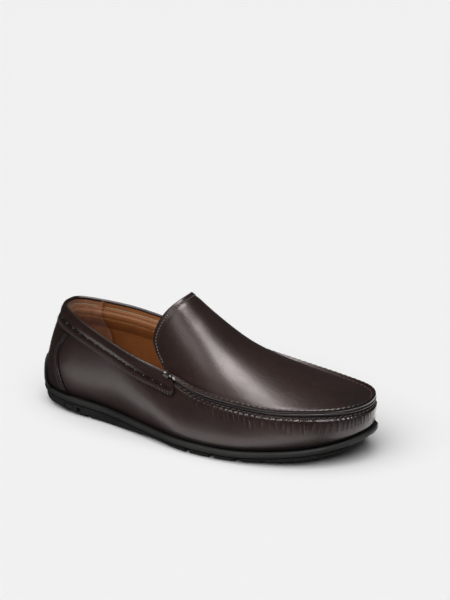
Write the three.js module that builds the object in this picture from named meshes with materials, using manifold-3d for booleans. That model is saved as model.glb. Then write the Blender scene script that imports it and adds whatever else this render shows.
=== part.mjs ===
// Men's slip-on moccasin, right shoe, European size 43, built in layers as the shoe is made:
// a rubber unit sole, the insole and footbed stack, the lining and stiffeners, the side wall
// with its lasting margin, the collar and backstay, and the plug sewn in along a raised seam.
// Millimetres. +X runs from heel to toe, +Y to the inner side of the foot, +Z up.
import * as THREE from 'three';
import { mergeVertices } from 'three/addons/utils/BufferGeometryUtils.js';
import Module from 'manifold-3d';

const wasm = await Module();
wasm.setup();
const { lerp, smoothstep } = THREE.MathUtils;

// Driving dimensions of the shoe.
const LENGTH = 296;              // sole, back of heel to toe
const BALL_WIDTH = 112;          // sole at the ball
const HEEL_WIDTH = 70;           // sole at the heel
const TOPLINE_HEIGHT = 89;       // back of the collar above the ground
const TONGUE_HEIGHT = 114;       // top of the plug's free edge
const CORNER_HEIGHT = 59.5;      // where the plug's free edge meets the side wall
const TOE_HEIGHT = 43.5;         // seam at the toe
const HEEL_SEAT = 16;            // sole's top edge above the ground, at the heel
const BALL_SEAT = 9.5;           // the same at the ball
const TOE_SEAT = 23;             // the same at the toe, with the toe spring
const TOE_SPRING = 13;           // lift of the tread at the toe
const ARCH_LIFT = 2;             // lift of the tread under the waist
const WELT = 3;                  // sole edge that shows outside the upper
const LEATHER = 1.6;             // side wall and plug
const BAND_LEATHER = 1.2;        // collar band and backstay, skived thinner
const STIFFENER = 1;             // counter, toe puff and side reinforcement
const LINING = 1;                // lining leather
const GAP = 0.3;                 // between neighbouring layers
const COLLAR_WIDTH = 22;         // collar band, topline to gimped edge
const COLLAR_FOAM = 2.5;         // padding in the collar, at its thickest
const LASTING_MARGIN = 12;       // side wall turned in under the insole
const MARGIN_LEATHER = 1.4;      // the same, skived
const BOARD = 1.8;               // insole board
const FOOTBED = 3.5;             // foam footbed
const SOCK = 1;                  // leather sock on the footbed
const SHANK_WIDTH = 14;
const SHANK_THICKNESS = 1.1;
const BEAD_HEIGHT = 2.2;         // plug's edge, turned up along the seam
const BEAD_WIDTH = 1.8;
const SEAM_STITCH = 5.5;         // seam stitches below the seam's top
const EDGE_STITCH = 2;           // stitches from the edge of the band and backstay
const TONGUE_STITCH = 4;         // stitches from the plug's free edge
const THREAD = 1;                // sewing thread
const TIE_THREAD = 1.8;          // doubled thread of the corner ties
const TREAD_GROOVE_WIDTH = 4.5;
const TREAD_GROOVE_DEPTH = 2.5;

// Patterns are drawn for this size and graded to the dimensions above.
const PATTERN = { length: 296, ball: 112, heel: 70 };
const HEEL_END = 75;
const BALL_START = 160;
const STATIONS = 17;             // round the shoe: back of heel, outer side, toe, inner side
const CORNER_OUTER = 5;          // stations where the plug's free edge ends
const TOE_STATION = 9;
const CORNER_INNER = 13;
const STEPS = 4;                 // facets between stations

const SOLE_EDGE = [[0, 0], [8, -20], [32, -32], [75, -38], [118, -49], [158, -58.5], [205, -58],
  [250, -45], [281, -24], [295.5, 3], [290, 28], [264, 45], [215, 53], [165, 46], [115, 35],
  [60, 32.5], [15, 25]];
const TOP_EDGE = [[21, 0], [25, -12.5], [43, -23.5], [72, -32], [98, -37], [129, -39.5],
  [180, -48.5], [232, -44.5], [273, -22.5], [290, 6], [286, 31.5], [262, 43.5], [215, 46],
  [130, 36.5], [100, 33], [64, 28.5], [28, 14]];
const TOPLINE_RISE = [1, 0.966, 0.83, 0.525, 0.27, 0, 0, 0, 0, 0, 0, 0, 0, 0, 0.22, 0.565, 0.913];
const LOWER_FULLNESS = [7, 6.5, 5, 4.5, 4.5, 4.5, 4.5, 4.5, 3.5, 3, 3.5, 4.5, 5, 4.5, 4, 4.5, 6];
const UPPER_FULLNESS = [4, 4, 3, 2.5, 3, 3.5, 3.5, 3, 2, 1.5, 2, 3, 3.5, 3.5, 2.5, 2.5, 3.5];
const INSTEP_RISE = [[105, 1.23], [131, 1], [150, 0.785], [180, 0.473], [210, 0.284],
  [240, 0.152], [265, 0.063], [292, 0]];
const PLUG_HALF_WIDTH = [[105, 37], [129, 39.5], [150, 42.5], [180, 47], [210, 48], [240, 44.5],
  [265, 38], [292, 31]];
const PLUG_CENTRE = [[100, 0], [180, 0], [292, 4]];
const PLUG_ROUNDNESS = 2.3;
const HEEL_SEAT_SHARE = [[0, 1], [40, 0.85], [90, 0.46], [140, 0], [300, 0]];
const TOE_SEAT_SHARE = [[0, 0], [190, 0], [230, 0.185], [265, 0.48], [300, 1]];
const TONGUE_EDGE = [[0, 133], [0.1, 132.7], [0.2, 131.8], [0.3, 130.3], [0.4, 128], [0.5, 125],
  [0.6, 121.5], [0.7, 118.3], [0.8, 117], [0.9, 119.5], [0.95, 123.5], [1, 130]];
const BACKSTAY_OUTER = [[0, 2.1], [0.45, 1.5], [0.75, 1.8]];
const BACKSTAY_INNER = [[0, 1.4], [0.45, 1.15], [0.75, 1.25]];

// Smooth values: round the shoe by station, and along a table of [x, value].
function around(values, s) {
  const n = values.length;
  const i = Math.floor(s);
  const f = s - i;
  const [a, b, c, d] = [-1, 0, 1, 2].map((k) => values[(((i + k) % n) + n) % n]);
  const square = 2 * a - 5 * b + 4 * c - d;
  const cube = 3 * b - a - 3 * c + d;
  return 0.5 * (2 * b + (c - a) * f + square * f * f + cube * f * f * f);
}

function along(table, x) {
  const last = table.length - 1;
  const at = THREE.MathUtils.clamp(x, table[0][0], table[last][0]);
  const slope = (k) => {
    const [x0, y0] = table[Math.max(k - 1, 0)];
    const [x1, y1] = table[Math.min(k + 1, last)];
    return (y1 - y0) / (x1 - x0);
  };
  let i = 0;
  while (i < last - 1 && table[i + 1][0] <= at) i += 1;
  const width = table[i + 1][0] - table[i][0];
  const t = (at - table[i][0]) / width;
  const start = table[i][1] * (1 + 2 * t) + slope(i) * width * t;
  const end = table[i + 1][1] * (3 - 2 * t) - slope(i + 1) * width * (1 - t);
  return start * (1 - t) * (1 - t) + end * t * t;
}

// Grading: pattern x and y to the shoe's own size.
const gradeX = LENGTH / PATTERN.length;

function gradeY(patternX) {
  const ball = BALL_WIDTH / PATTERN.ball;
  return lerp(HEEL_WIDTH / PATTERN.heel, ball, smoothstep(patternX, HEEL_END, BALL_START));
}

function plan(edge, s) {
  const x = around(edge.map((p) => p[0]), s);
  const y = around(edge.map((p) => p[1]), s);
  return new THREE.Vector2(x * gradeX, y * gradeY(x));
}

function outward(edge, s) {
  const step = 0.01;
  const way = plan(edge, s + step).sub(plan(edge, s - step)).normalize();
  return new THREE.Vector2(way.y, -way.x);
}

// Heights: top of the sole, tread, and the plug's arched surface.
function seatHeight(x) {
  const heel = along(HEEL_SEAT_SHARE, x / gradeX) * (HEEL_SEAT - BALL_SEAT);
  const toe = along(TOE_SEAT_SHARE, x / gradeX) * (TOE_SEAT - BALL_SEAT);
  return BALL_SEAT + heel + toe;
}

function treadHeight(x) {
  const patternX = x / gradeX;
  const [bevelEnd, archStart, archEnd, springStart] = [12, 80, 160, 238];
  const heelBevel = 2.5;
  if (patternX < bevelEnd) return heelBevel * (1 - patternX / bevelEnd) ** 2;
  if (patternX > springStart) {
    return TOE_SPRING * ((patternX - springStart) / (PATTERN.length - springStart)) ** 2;
  }
  if (patternX <= archStart || patternX >= archEnd) return 0;
  return ARCH_LIFT * Math.sin((Math.PI * (patternX - archStart)) / (archEnd - archStart)) ** 2;
}

function archHeight(x, y) {
  const patternX = x / gradeX;
  const grade = gradeY(patternX);
  const centre = along(PLUG_CENTRE, patternX) * grade;
  const across = Math.abs(y - centre) / (along(PLUG_HALF_WIDTH, patternX) * grade);
  const drop = (TONGUE_HEIGHT - CORNER_HEIGHT) * across ** PLUG_ROUNDNESS;
  return TOE_HEIGHT + along(INSTEP_RISE, patternX) * (TONGUE_HEIGHT - TOE_HEIGHT - drop);
}

function archPoint(x, y, depth = 0) {
  const step = 0.5;
  const slopeX = (archHeight(x + step, y) - archHeight(x - step, y)) / (2 * step);
  const slopeY = (archHeight(x, y + step) - archHeight(x, y - step)) / (2 * step);
  const normal = new THREE.Vector3(-slopeX, -slopeY, 1).normalize();
  return new THREE.Vector3(x, y, archHeight(x, y)).addScaledVector(normal, -depth);
}

// The side wall's surface, by station s and height t: 0 on the sole, 1 at the topline or seam.
function soleEdge(s, inset) {
  return plan(SOLE_EDGE, s).addScaledVector(outward(SOLE_EDGE, s), -inset);
}

function wallFoot(s, inset = WELT) {
  const p = soleEdge(s, inset);
  return new THREE.Vector3(p.x, p.y, seatHeight(p.x) + GAP);
}

const topHeights = TOPLINE_RISE.map((rise, station) => {
  const p = plan(TOP_EDGE, station);
  if (station >= CORNER_OUTER && station <= CORNER_INNER) return archHeight(p.x, p.y);
  const corner = plan(TOP_EDGE, station < CORNER_OUTER ? CORNER_OUTER : CORNER_INNER);
  return lerp(archHeight(corner.x, corner.y), TOPLINE_HEIGHT, rise);
});

function topEdge(s) {
  const p = plan(TOP_EDGE, s);
  const onSeam = s > CORNER_OUTER && s < CORNER_INNER;
  return new THREE.Vector3(p.x, p.y, onSeam ? archHeight(p.x, p.y) : around(topHeights, s));
}

function wallLength(s) {
  return topEdge(s).distanceTo(wallFoot(s));
}

function wallSurface(s, t) {
  const foot = wallFoot(s);
  const top = topEdge(s);
  const side = outward(SOLE_EDGE, s);
  const out = new THREE.Vector3(side.x, side.y, 0);
  const low = foot.clone().lerp(top, 1 / 3).addScaledVector(out, around(LOWER_FULLNESS, s));
  const high = foot.clone().lerp(top, 2 / 3).addScaledVector(out, around(UPPER_FULLNESS, s));
  const r = 1 - t;
  return foot.multiplyScalar(r * r * r)
    .addScaledVector(low, 3 * t * r * r)
    .addScaledVector(high, 3 * t * t * r)
    .addScaledVector(top, t * t * t);
}

function wallFrame(s, t) {
  const step = 0.01;
  const base = Math.min(Math.max(t, step), 1 - step);
  const along = wallSurface(s + step, base).sub(wallSurface(s - step, base));
  const up = wallSurface(s, base + step).sub(wallSurface(s, base - step)).normalize();
  return { up, normal: along.cross(up).normalize() };
}

function wallPoint(s, t, depth) {
  return wallSurface(s, t).addScaledVector(wallFrame(s, t).normal, -depth);
}

// A point on the wall by its distance down from the top edge, negative above it.
function belowTop(s, distance, depth) {
  const t = Math.min(1 - distance / wallLength(s), 1);
  const point = wallPoint(s, t, depth);
  if (distance < 0) point.addScaledVector(wallFrame(s, 1).up, -distance);
  return point;
}

// Closed bodies. Triangles are welded and the collapsed ones dropped.
function body(triangles) {
  const geometry = new THREE.BufferGeometry();
  const corners = triangles.flatMap((t) => t.flatMap((p) => [p.x, p.y, p.z]));
  geometry.setAttribute('position', new THREE.Float32BufferAttribute(corners, 3));
  const welded = mergeVertices(geometry, 1e-3);
  const index = [];
  for (let k = 0; k < welded.index.count; k += 3) {
    const [a, b, c] = [0, 1, 2].map((j) => welded.index.getX(k + j));
    if (a !== b && b !== c && c !== a) index.push(a, b, c);
  }
  welded.setIndex(index);
  return welded;
}

// A layer between two matching grids of points: rows run one way, columns the other.
function layer(outer, inner, { openEnd = false } = {}) {
  const triangles = [];
  const quad = (a, b, c, d) => triangles.push([a, b, c], [a, c, d]);
  const lastRow = outer.length - 1;
  const lastColumn = outer[0].length - 1;
  for (let i = 0; i < lastRow; i += 1) {
    for (let j = 0; j < lastColumn; j += 1) {
      quad(outer[i][j], outer[i + 1][j], outer[i + 1][j + 1], outer[i][j + 1]);
      quad(inner[i][j], inner[i][j + 1], inner[i + 1][j + 1], inner[i + 1][j]);
    }
    quad(outer[i][0], inner[i][0], inner[i + 1][0], outer[i + 1][0]);
    quad(outer[i][lastColumn], outer[i + 1][lastColumn], inner[i + 1][lastColumn], inner[i][lastColumn]);
  }
  for (let j = 0; j < lastColumn; j += 1) {
    quad(outer[0][j], outer[0][j + 1], inner[0][j + 1], inner[0][j]);
    if (!openEnd) {
      quad(outer[lastRow][j], inner[lastRow][j], inner[lastRow][j + 1], outer[lastRow][j + 1]);
    }
  }
  return body(triangles);
}

// A plate from closed rings, top ring first, each ring level with its opposite side.
function plate(rings) {
  const triangles = [];
  const quad = (a, b, c, d) => triangles.push([a, b, c], [a, c, d]);
  const count = rings[0].length;
  const next = (i) => (i + 1) % count;
  for (let k = 0; k < rings.length - 1; k += 1) {
    for (let i = 0; i < count; i += 1) {
      quad(rings[k][i], rings[k + 1][i], rings[k + 1][next(i)], rings[k][next(i)]);
    }
  }
  const top = rings[0];
  const bottom = rings[rings.length - 1];
  for (let i = 0; i < count / 2; i += 1) {
    const across = (count - i) % count;
    const acrossNext = count - i - 1;
    quad(top[i], top[i + 1], top[acrossNext], top[across]);
    quad(bottom[i], bottom[across], bottom[acrossNext], bottom[i + 1]);
  }
  return body(triangles);
}

function stationsBetween(start, end) {
  const inside = [];
  for (let k = Math.ceil(start * STEPS + 0.2); k <= end * STEPS - 0.2; k += 1) inside.push(k / STEPS);
  return [start, ...inside, end];
}

function spread(start, end, count) {
  return Array.from({ length: count + 1 }, (_, k) => lerp(start, end, k / count));
}

// Outline points that pair up across the shoe at the same x, for every plate under the foot.
function farthestStation(guess, sign) {
  const reach = 0.6;
  const tries = spread(guess - reach, guess + reach, 240);
  return tries.reduce((best, s) => (sign * plan(SOLE_EDGE, s).x > sign * plan(SOLE_EDGE, best).x ? s : best));
}

const heelStation = farthestStation(0, -1);
const toeStation = farthestStation(TOE_STATION, 1);

function stationAt(x, start, end, inset = 0) {
  let [low, high] = [start, end];
  const rising = plan(SOLE_EDGE, end).x > plan(SOLE_EDGE, start).x;
  for (let k = 0; k < 40; k += 1) {
    const middle = (low + high) / 2;
    if (soleEdge(middle, inset).x < x === rising) low = middle;
    else high = middle;
  }
  return (low + high) / 2;
}

const PLATE_STEPS = 28;
const heelX = plan(SOLE_EDGE, heelStation).x;
const toeX = plan(SOLE_EDGE, toeStation).x;
const plateX = spread(0, Math.PI, PLATE_STEPS).map((a) => lerp(heelX, toeX, (1 - Math.cos(a)) / 2));
const outerStations = plateX.map((x) => stationAt(x, heelStation, toeStation));
const innerStations = plateX.map((x) => stationAt(x, toeStation, STATIONS + heelStation));
const plateStations = [
  heelStation,
  ...outerStations.slice(1, -1),
  toeStation,
  ...innerStations.slice(1, -1).reverse(),
];

function ring(inset, height) {
  return plateStations.map((s) => {
    const p = soleEdge(s, typeof inset === 'function' ? inset(s) : inset);
    return new THREE.Vector3(p.x, p.y, height(p.x));
  });
}

// Under the foot.
const boardBottom = GAP + MARGIN_LEATHER + GAP;
const footbedBottom = boardBottom + BOARD + GAP;
const sockBottom = footbedBottom + FOOTBED + GAP;
const stiffenerDepth = LEATHER + GAP;
const liningDepth = stiffenerDepth + STIFFENER + GAP;
const liningInset = WELT + liningDepth + LINING;

// Inset that keeps a plate clear of the lining where the wall leans in over it.
function insideLining(height, clearance) {
  return (s) => {
    const edge = soleEdge(s, 0);
    const share = height / (topEdge(s).z - seatHeight(edge.x));
    const lining = wallPoint(s, share, liningDepth + LINING);
    const lean = new THREE.Vector2(edge.x - lining.x, edge.y - lining.y).dot(outward(SOLE_EDGE, s));
    return Math.max(liningInset, lean) + clearance;
  };
}

function aboveSeat(height) {
  return (x) => seatHeight(x) + height;
}

function outsole() {
  const tread = (x) => treadHeight(x);
  const part = (share) => (x) => lerp(tread(x), seatHeight(x), share);
  const rings = [
    ring(0.8, aboveSeat(0)),
    ring(0, aboveSeat(-0.9)),
    ring(0, aboveSeat(-3.2)),
    ring(1, aboveSeat(-3.6)),
    ring(1, aboveSeat(-4.3)),
    ring(0.5, aboveSeat(-4.8)),
    ring(1.6, part(0.12)),
    ring(2.8, tread),
  ];
  const grooveX = [20, 38, 56, 160, 182, 204, 226, 248].map((x) => x * gradeX);
  return grooveX.reduce((sole, x) => cut(sole, treadGroove(x)), plate(rings));
}

function treadGroove(x) {
  const width = 2 * BALL_WIDTH;
  const drop = 10;
  const groove = new THREE.BoxGeometry(TREAD_GROOVE_WIDTH, width, TREAD_GROOVE_DEPTH + drop);
  return groove.translate(x, 0, treadHeight(x) + (TREAD_GROOVE_DEPTH - drop) / 2);
}

function insoleBoard() {
  const inset = insideLining(boardBottom + BOARD, 1);
  return plate([ring(inset, aboveSeat(boardBottom + BOARD)), ring(inset, aboveSeat(boardBottom))]);
}

function footbed() {
  const round = 1;
  const inset = insideLining(footbedBottom + FOOTBED, 1);
  const topInset = insideLining(footbedBottom + FOOTBED, 1 + round);
  return plate([
    ring(topInset, aboveSeat(footbedBottom + FOOTBED)),
    ring(inset, aboveSeat(footbedBottom + FOOTBED - round)),
    ring(inset, aboveSeat(footbedBottom)),
  ]);
}

function sockLining() {
  const inset = insideLining(sockBottom + SOCK, 1.2);
  return plate([ring(inset, aboveSeat(sockBottom + SOCK)), ring(inset, aboveSeat(sockBottom))]);
}

// A strip under the insole board from one x to another, with its two edges given as y(x).
function underfootStrip(start, end, edges, thickness) {
  const rows = spread(start * gradeX, end * gradeX, 10);
  const grid = (height) => rows.map((x) => {
    const [low, high] = edges(x);
    return spread(low, high, 2).map((y) => new THREE.Vector3(x, y, seatHeight(x) + height));
  });
  return layer(grid(GAP + thickness), grid(GAP));
}

function shank() {
  const edges = () => [-SHANK_WIDTH / 2, SHANK_WIDTH / 2];
  return underfootStrip(58, 156, edges, SHANK_THICKNESS);
}

function forepartFiller() {
  const inset = WELT + LASTING_MARGIN + 2;
  const edges = (x) => [
    soleEdge(stationAt(x, heelStation, toeStation, inset), inset).y,
    soleEdge(stationAt(x, toeStation, STATIONS + heelStation, inset), inset).y,
  ];
  return underfootStrip(162, 255, edges, MARGIN_LEATHER - GAP);
}

// Side wall: one piece from the back seam round the toe, with its lasting margin turned in.
function sideWall() {
  const seamGap = 0.015;
  const heights = [0.1, 0.25, 0.42, 0.6, 0.75];
  const rows = stationsBetween(seamGap, STATIONS - seamGap);
  const columns = (s) => {
    const length = wallLength(s);
    return [...heights, 1 - SEAM_STITCH / length, 1 - (LEATHER + 2 * GAP) / length];
  };
  const margin = (s, lift) => {
    const p = wallFoot(s, WELT + LASTING_MARGIN);
    return p.setZ(seatHeight(p.x) + GAP + lift);
  };
  const corner = (s, inset, lift) => {
    const p = wallFoot(s, WELT + inset);
    return p.setZ(p.z + lift);
  };
  const outer = rows.map((s) => [
    margin(s, 0),
    corner(s, 0, 0),
    ...columns(s).map((t) => wallPoint(s, t, 0)),
  ]);
  const inner = rows.map((s) => [
    margin(s, MARGIN_LEATHER),
    corner(s, LEATHER, MARGIN_LEATHER),
    ...columns(s).map((t) => wallPoint(s, t, LEATHER)),
  ]);
  return layer(outer, inner);
}

// The collar's rolled part runs from one end of the plug's free edge round the heel to the other.
const collarStart = CORNER_INNER - STATIONS + 0.15;
const collarEnd = CORNER_OUTER - 0.15;

// Layers inside the side wall.
const LINING_FOOT = 0.07;

function foamSwell(s, distance) {
  const [top, bottom] = [3, COLLAR_WIDTH + 2];
  if (distance <= top || distance >= bottom) return 0;
  const round = Math.min(smoothstep(s, CORNER_INNER - STATIONS, CORNER_INNER - STATIONS + 0.8),
    1 - smoothstep(s, CORNER_OUTER - 0.8, CORNER_OUTER));
  return round * COLLAR_FOAM * Math.sin((Math.PI * (distance - top)) / (bottom - top));
}

function wallLayer(start, end, columns, depth, thickness, swell = () => 0) {
  const rows = stationsBetween(start, end);
  const grid = (inset) => rows.map((s) => columns(s).map((t) => {
    const distance = (1 - t) * wallLength(s);
    return wallPoint(s, t, depth + inset + swell(s, distance));
  }));
  return layer(grid(0), grid(thickness));
}

function upTo(foot, margin, count) {
  return (s) => spread(foot, 1 - margin(s) / wallLength(s), count);
}

function collarColumns(s) {
  const distances = [COLLAR_WIDTH + 4, 18, 13, 8, 4.5, 2];
  const low = 1 - distances[0] / wallLength(s);
  return [LINING_FOOT, low / 2, ...distances.map((d) => 1 - d / wallLength(s))];
}

function heelCounter() {
  return wallLayer(-1.9, 1.9, upTo(0.06, () => COLLAR_WIDTH + 5, 4), stiffenerDepth, STIFFENER);
}

function sideStiffener(start, end) {
  const margin = (s) => {
    const towardsToe = start < 0 ? -s : s;
    const corner = start < 0 ? STATIONS - CORNER_INNER : CORNER_OUTER;
    return lerp(COLLAR_WIDTH + 5, 6, smoothstep(towardsToe, corner - 0.5, corner + 0.5));
  };
  return wallLayer(start, end, upTo(0.06, margin, 4), stiffenerDepth, STIFFENER);
}

function toePuff() {
  return wallLayer(7.6, 10.6, upTo(0.08, () => 6, 3), stiffenerDepth, STIFFENER);
}

function vampLining() {
  const columns = upTo(LINING_FOOT, () => 7, 4);
  return wallLayer(CORNER_OUTER + 0.02, CORNER_INNER - 0.02, columns, liningDepth, LINING);
}

function quarterLining(start, end) {
  return wallLayer(start, end, collarColumns, liningDepth, LINING, foamSwell);
}

function collarPadding() {
  const rows = stationsBetween(collarStart + 0.15, collarEnd - 0.15);
  const distances = [COLLAR_WIDTH + 1, 18, 13, 8, 4.5];
  const grid = (depth) => rows.map((s) => distances.map((d) => belowTop(s, d, depth(s, d))));
  return layer(grid(() => stiffenerDepth), grid((s, d) => liningDepth - GAP + foamSwell(s, d)));
}

// Collar band: its outer leg lies on the wall, and its top rolls over the topline on to the lining.
function collarBand() {
  const inside = liningDepth + LINING + GAP;
  const face = BAND_LEATHER + GAP;
  const stitch = COLLAR_WIDTH - EDGE_STITCH;
  const rollEnd = 6;
  const section = (s) => {
    const swell = foamSwell(s, rollEnd);
    return {
      outer: [[COLLAR_WIDTH, -face], [stitch, -face], [13, -face], [8, -face - 0.5], [2, -face], [-0.6, 0.2 - face],
        [-1.8, 0.6], [-1.8, inside - 1.4], [-0.6, inside + 0.8], [2, inside + BAND_LEATHER],
        [rollEnd, inside + BAND_LEATHER + swell]],
      inner: [[COLLAR_WIDTH, -GAP], [stitch, -GAP], [13, -GAP], [8, -GAP], [2, -GAP], [0.6, -GAP],
        [-0.6, 0.8], [-0.6, inside - 1.6], [0.5, inside - 0.4], [2, inside], [rollEnd, inside + swell]],
    };
  };
  const rows = stationsBetween(collarStart, collarEnd);
  const grid = (side) => rows.map((s) => section(s)[side].map(([d, depth]) => belowTop(s, d, depth)));
  const band = layer(grid('outer'), grid('inner'));
  return join(join(band, collarTab(CORNER_OUTER - 0.5, 0.85)), collarTab(CORNER_INNER - STATIONS + 0.5, -0.85));
}

// The band's rounded end, forward of the tongue corner.
function collarTab(start, reach) {
  const [top, bottom] = [3.5, COLLAR_WIDTH];
  const rows = spread(0, 1, 6);
  const side = (depth) => rows.map((k) => {
    const s = start + reach * k;
    const round = Math.sqrt(1 - smoothstep(k, 0.6, 1.1) ** 2);
    const middle = (top + bottom) / 2;
    const half = ((bottom - top) / 2) * round;
    return spread(middle + half, middle - half, 3).map((d) => belowTop(s, d, depth));
  });
  const outer = side(-BAND_LEATHER - GAP);
  const inner = side(-GAP);
  return reach > 0 ? layer(outer, inner) : layer(outer.reverse(), inner.reverse());
}

function heelBackstay() {
  const across = spread(-1, 1, 16);
  const width = (k, t) => k * (k < 0 ? along(BACKSTAY_INNER, t) : along(BACKSTAY_OUTER, t));
  const grid = (depth) => across.map((k) => {
    const top = 1 - (COLLAR_WIDTH + 2 * GAP) / wallLength(width(k, 1));
    return spread(0.02, top, 7).map((t) => wallPoint(width(k, t), t, depth));
  });
  return layer(grid(-BAND_LEATHER - GAP), grid(-GAP));
}

// The plug: a grid across the arch between the two sides of the seam, closing at the toe.
function seamPoint(s, inset) {
  const p = plan(TOP_EDGE, s);
  const side = outward(TOP_EDGE, s);
  const q = p.clone().addScaledVector(side, -1);
  const slope = archHeight(q.x, q.y) - archHeight(p.x, p.y);
  return p.addScaledVector(side, -inset / Math.hypot(1, slope));
}

function plugGrid(inset, shoulders = []) {
  const across = [-1, -0.9, -0.78, -0.62, -0.4, -0.2, 0, 0.2, 0.4, 0.62, 0.78, 0.9, 1];
  const rows = (TOE_STATION - CORNER_OUTER) * STEPS;
  return spread(0, 1, rows).map((q) => {
    const [outer, inner] = [CORNER_OUTER + q * 4, CORNER_INNER - q * 4];
    const [a, b] = [seamPoint(outer, inset), seamPoint(inner, inset)];
    const bow = 5 * Math.sin(Math.PI * q) * gradeX;
    const nearTongue = Math.max(0, 1 - q / 0.22) ** 2;
    const middle = across.map((v) => {
      const straight = lerp(plan(TOP_EDGE, CORNER_OUTER).x, plan(TOP_EDGE, CORNER_INNER).x, (v + 1) / 2);
      const tongue = along(TONGUE_EDGE, Math.abs(v)) * gradeX - straight;
      const x = lerp(a.x, b.x, (v + 1) / 2) + bow * (1 - v * v) + tongue * nearTongue;
      return [x, lerp(a.y, b.y, (v + 1) / 2), 0];
    });
    const edge = (s) => shoulders.map(([d, lift]) => {
      const p = seamPoint(s, d);
      return [p.x, p.y, lift];
    });
    return [...edge(outer), ...middle, ...edge(inner).reverse()];
  });
}

// The row of the plug's grid that the stitches along its free edge follow.
function tongueStitchRow(grid) {
  return grid[0].map(([x, y, lift], j) => {
    const [nextX, nextY] = grid[1][j];
    const share = TONGUE_STITCH / Math.hypot(nextX - x, nextY - y);
    return [lerp(x, nextX, share), lerp(y, nextY, share), lift];
  });
}

function plugWithStitchRow() {
  const shoulders = [[0, BEAD_HEIGHT], [BEAD_WIDTH, BEAD_HEIGHT]];
  const grid = plugGrid(BEAD_WIDTH + 1.6, shoulders);
  return [grid[0], tongueStitchRow(grid), ...grid.slice(1)];
}

function plug() {
  const grid = plugWithStitchRow();
  const outer = grid.map((row) => row.map(([x, y, lift]) => archPoint(x, y, -lift)));
  const inner = grid.map((row) => row.map(([x, y]) => archPoint(x, y, LEATHER)));
  return layer(outer, inner, { openEnd: true });
}

function plugLining() {
  const grid = plugGrid(5);
  const depth = LEATHER + GAP;
  const outer = grid.map((row) => row.map(([x, y]) => archPoint(x, y, depth)));
  const inner = grid.map((row) => row.map(([x, y]) => archPoint(x, y, depth + LINING)));
  return layer(outer, inner, { openEnd: true });
}

// Thread, laid just clear of the leather as one thin run per seam. at(step, depth) is a point of
// the run on the leather or off it.
function thread(steps, at, diameter, lift) {
  const sides = 5;
  const centres = steps.map((step) => at(step, -lift));
  const rings = centres.map((centre, i) => {
    const before = centres[Math.max(i - 1, 0)];
    const after = centres[Math.min(i + 1, centres.length - 1)];
    const normal = centre.clone().sub(at(steps[i], 0)).normalize();
    const side = after.clone().sub(before).cross(normal).normalize();
    return spread(0, 2 * Math.PI, sides).slice(0, sides).map((angle) => centre.clone()
      .addScaledVector(normal, (diameter / 2) * Math.cos(angle))
      .addScaledVector(side, (diameter / 2) * Math.sin(angle)));
  });
  const triangles = [];
  for (let i = 0; i < rings.length - 1; i += 1) {
    for (let j = 0; j < sides; j += 1) {
      const k = (j + 1) % sides;
      triangles.push([rings[i][j], rings[i][k], rings[i + 1][k]]);
      triangles.push([rings[i][j], rings[i + 1][k], rings[i + 1][j]]);
    }
  }
  const last = rings[rings.length - 1];
  for (let j = 1; j < sides - 1; j += 1) {
    triangles.push([rings[0][0], rings[0][j + 1], rings[0][j]], [last[0], last[j], last[j + 1]]);
  }
  return body(triangles);
}

const threadLift = 2 * GAP + THREAD / 2;

function seamThread() {
  const steps = stationsBetween(CORNER_OUTER + 0.35, CORNER_INNER - 0.35);
  return thread(steps, (s, depth) => belowTop(s, SEAM_STITCH, depth), THREAD, threadLift);
}

function collarThread() {
  const steps = stationsBetween(collarStart, collarEnd);
  const at = (s, depth) => belowTop(s, COLLAR_WIDTH - EDGE_STITCH, depth);
  return thread(steps, at, THREAD, BAND_LEATHER + threadLift);
}

function backstayThread(sign) {
  const edge = sign > 0 ? BACKSTAY_OUTER : BACKSTAY_INNER;
  const inFromEdge = 0.15;
  const top = 1 - (COLLAR_WIDTH + 3) / wallLength(0);
  const at = (t, depth) => wallPoint(sign * (along(edge, t) - inFromEdge), t, depth);
  return thread(spread(0.06, top, 10), at, THREAD, BAND_LEATHER + threadLift);
}

function tongueThread() {
  const beyondBead = 4;
  const row = plugWithStitchRow()[1].slice(beyondBead - 1, 1 - beyondBead);
  return thread(row, ([x, y], depth) => archPoint(x, y, depth), THREAD, threadLift);
}

function cornerTie(s) {
  const [reach, down] = [0.08, 3];
  const lift = BAND_LEATHER + GAP + threadLift + TIE_THREAD / 2;
  const steps = spread(s - reach, s + reach, 2);
  return thread(steps, (k, depth) => belowTop(k, down, depth), TIE_THREAD, lift);
}

// Solids are joined and cut here.
function toSolid(geometry) {
  const bare = geometry.clone();
  bare.deleteAttribute('normal');
  bare.deleteAttribute('uv');
  const merged = mergeVertices(bare, 1e-3);
  const vertProperties = new Float32Array(merged.attributes.position.array);
  const triVerts = new Uint32Array(merged.index.array);
  return new wasm.Manifold(new wasm.Mesh({ numProp: 3, vertProperties, triVerts }));
}

function toGeometry(solid) {
  const { vertProperties, triVerts } = solid.getMesh();
  const geometry = new THREE.BufferGeometry();
  geometry.setAttribute('position', new THREE.BufferAttribute(vertProperties, 3));
  return geometry.setIndex(new THREE.BufferAttribute(triVerts, 1));
}

function cut(geometry, tool) {
  return toGeometry(toSolid(geometry).subtract(toSolid(tool)));
}

function join(geometry, other) {
  return toGeometry(toSolid(geometry).add(toSolid(other)));
}

// Finishes.
function finish(color, roughness, metalness = 0) {
  return new THREE.MeshStandardMaterial({ color, roughness, metalness });
}

const brownCalf = finish(0x3a2e2d, 0.35);
const tanLining = finish(0x8f5a2e, 0.6);
const heelGrip = finish(0xa06a4a, 0.85);
const blackRubber = finish(0x2c2b2b, 0.8);
const brownThread = finish(0x2a201d, 0.7);
const stiffenerBoard = finish(0xc9b79a, 0.9);
const foam = finish(0xd9cfae, 0.95);
const fibreboard = finish(0xb08d5e, 0.9);
const corkFiller = finish(0x9c7648, 0.95);
const springSteel = finish(0x8c8f92, 0.4, 1);

const moccasin = new THREE.Group();

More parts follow.
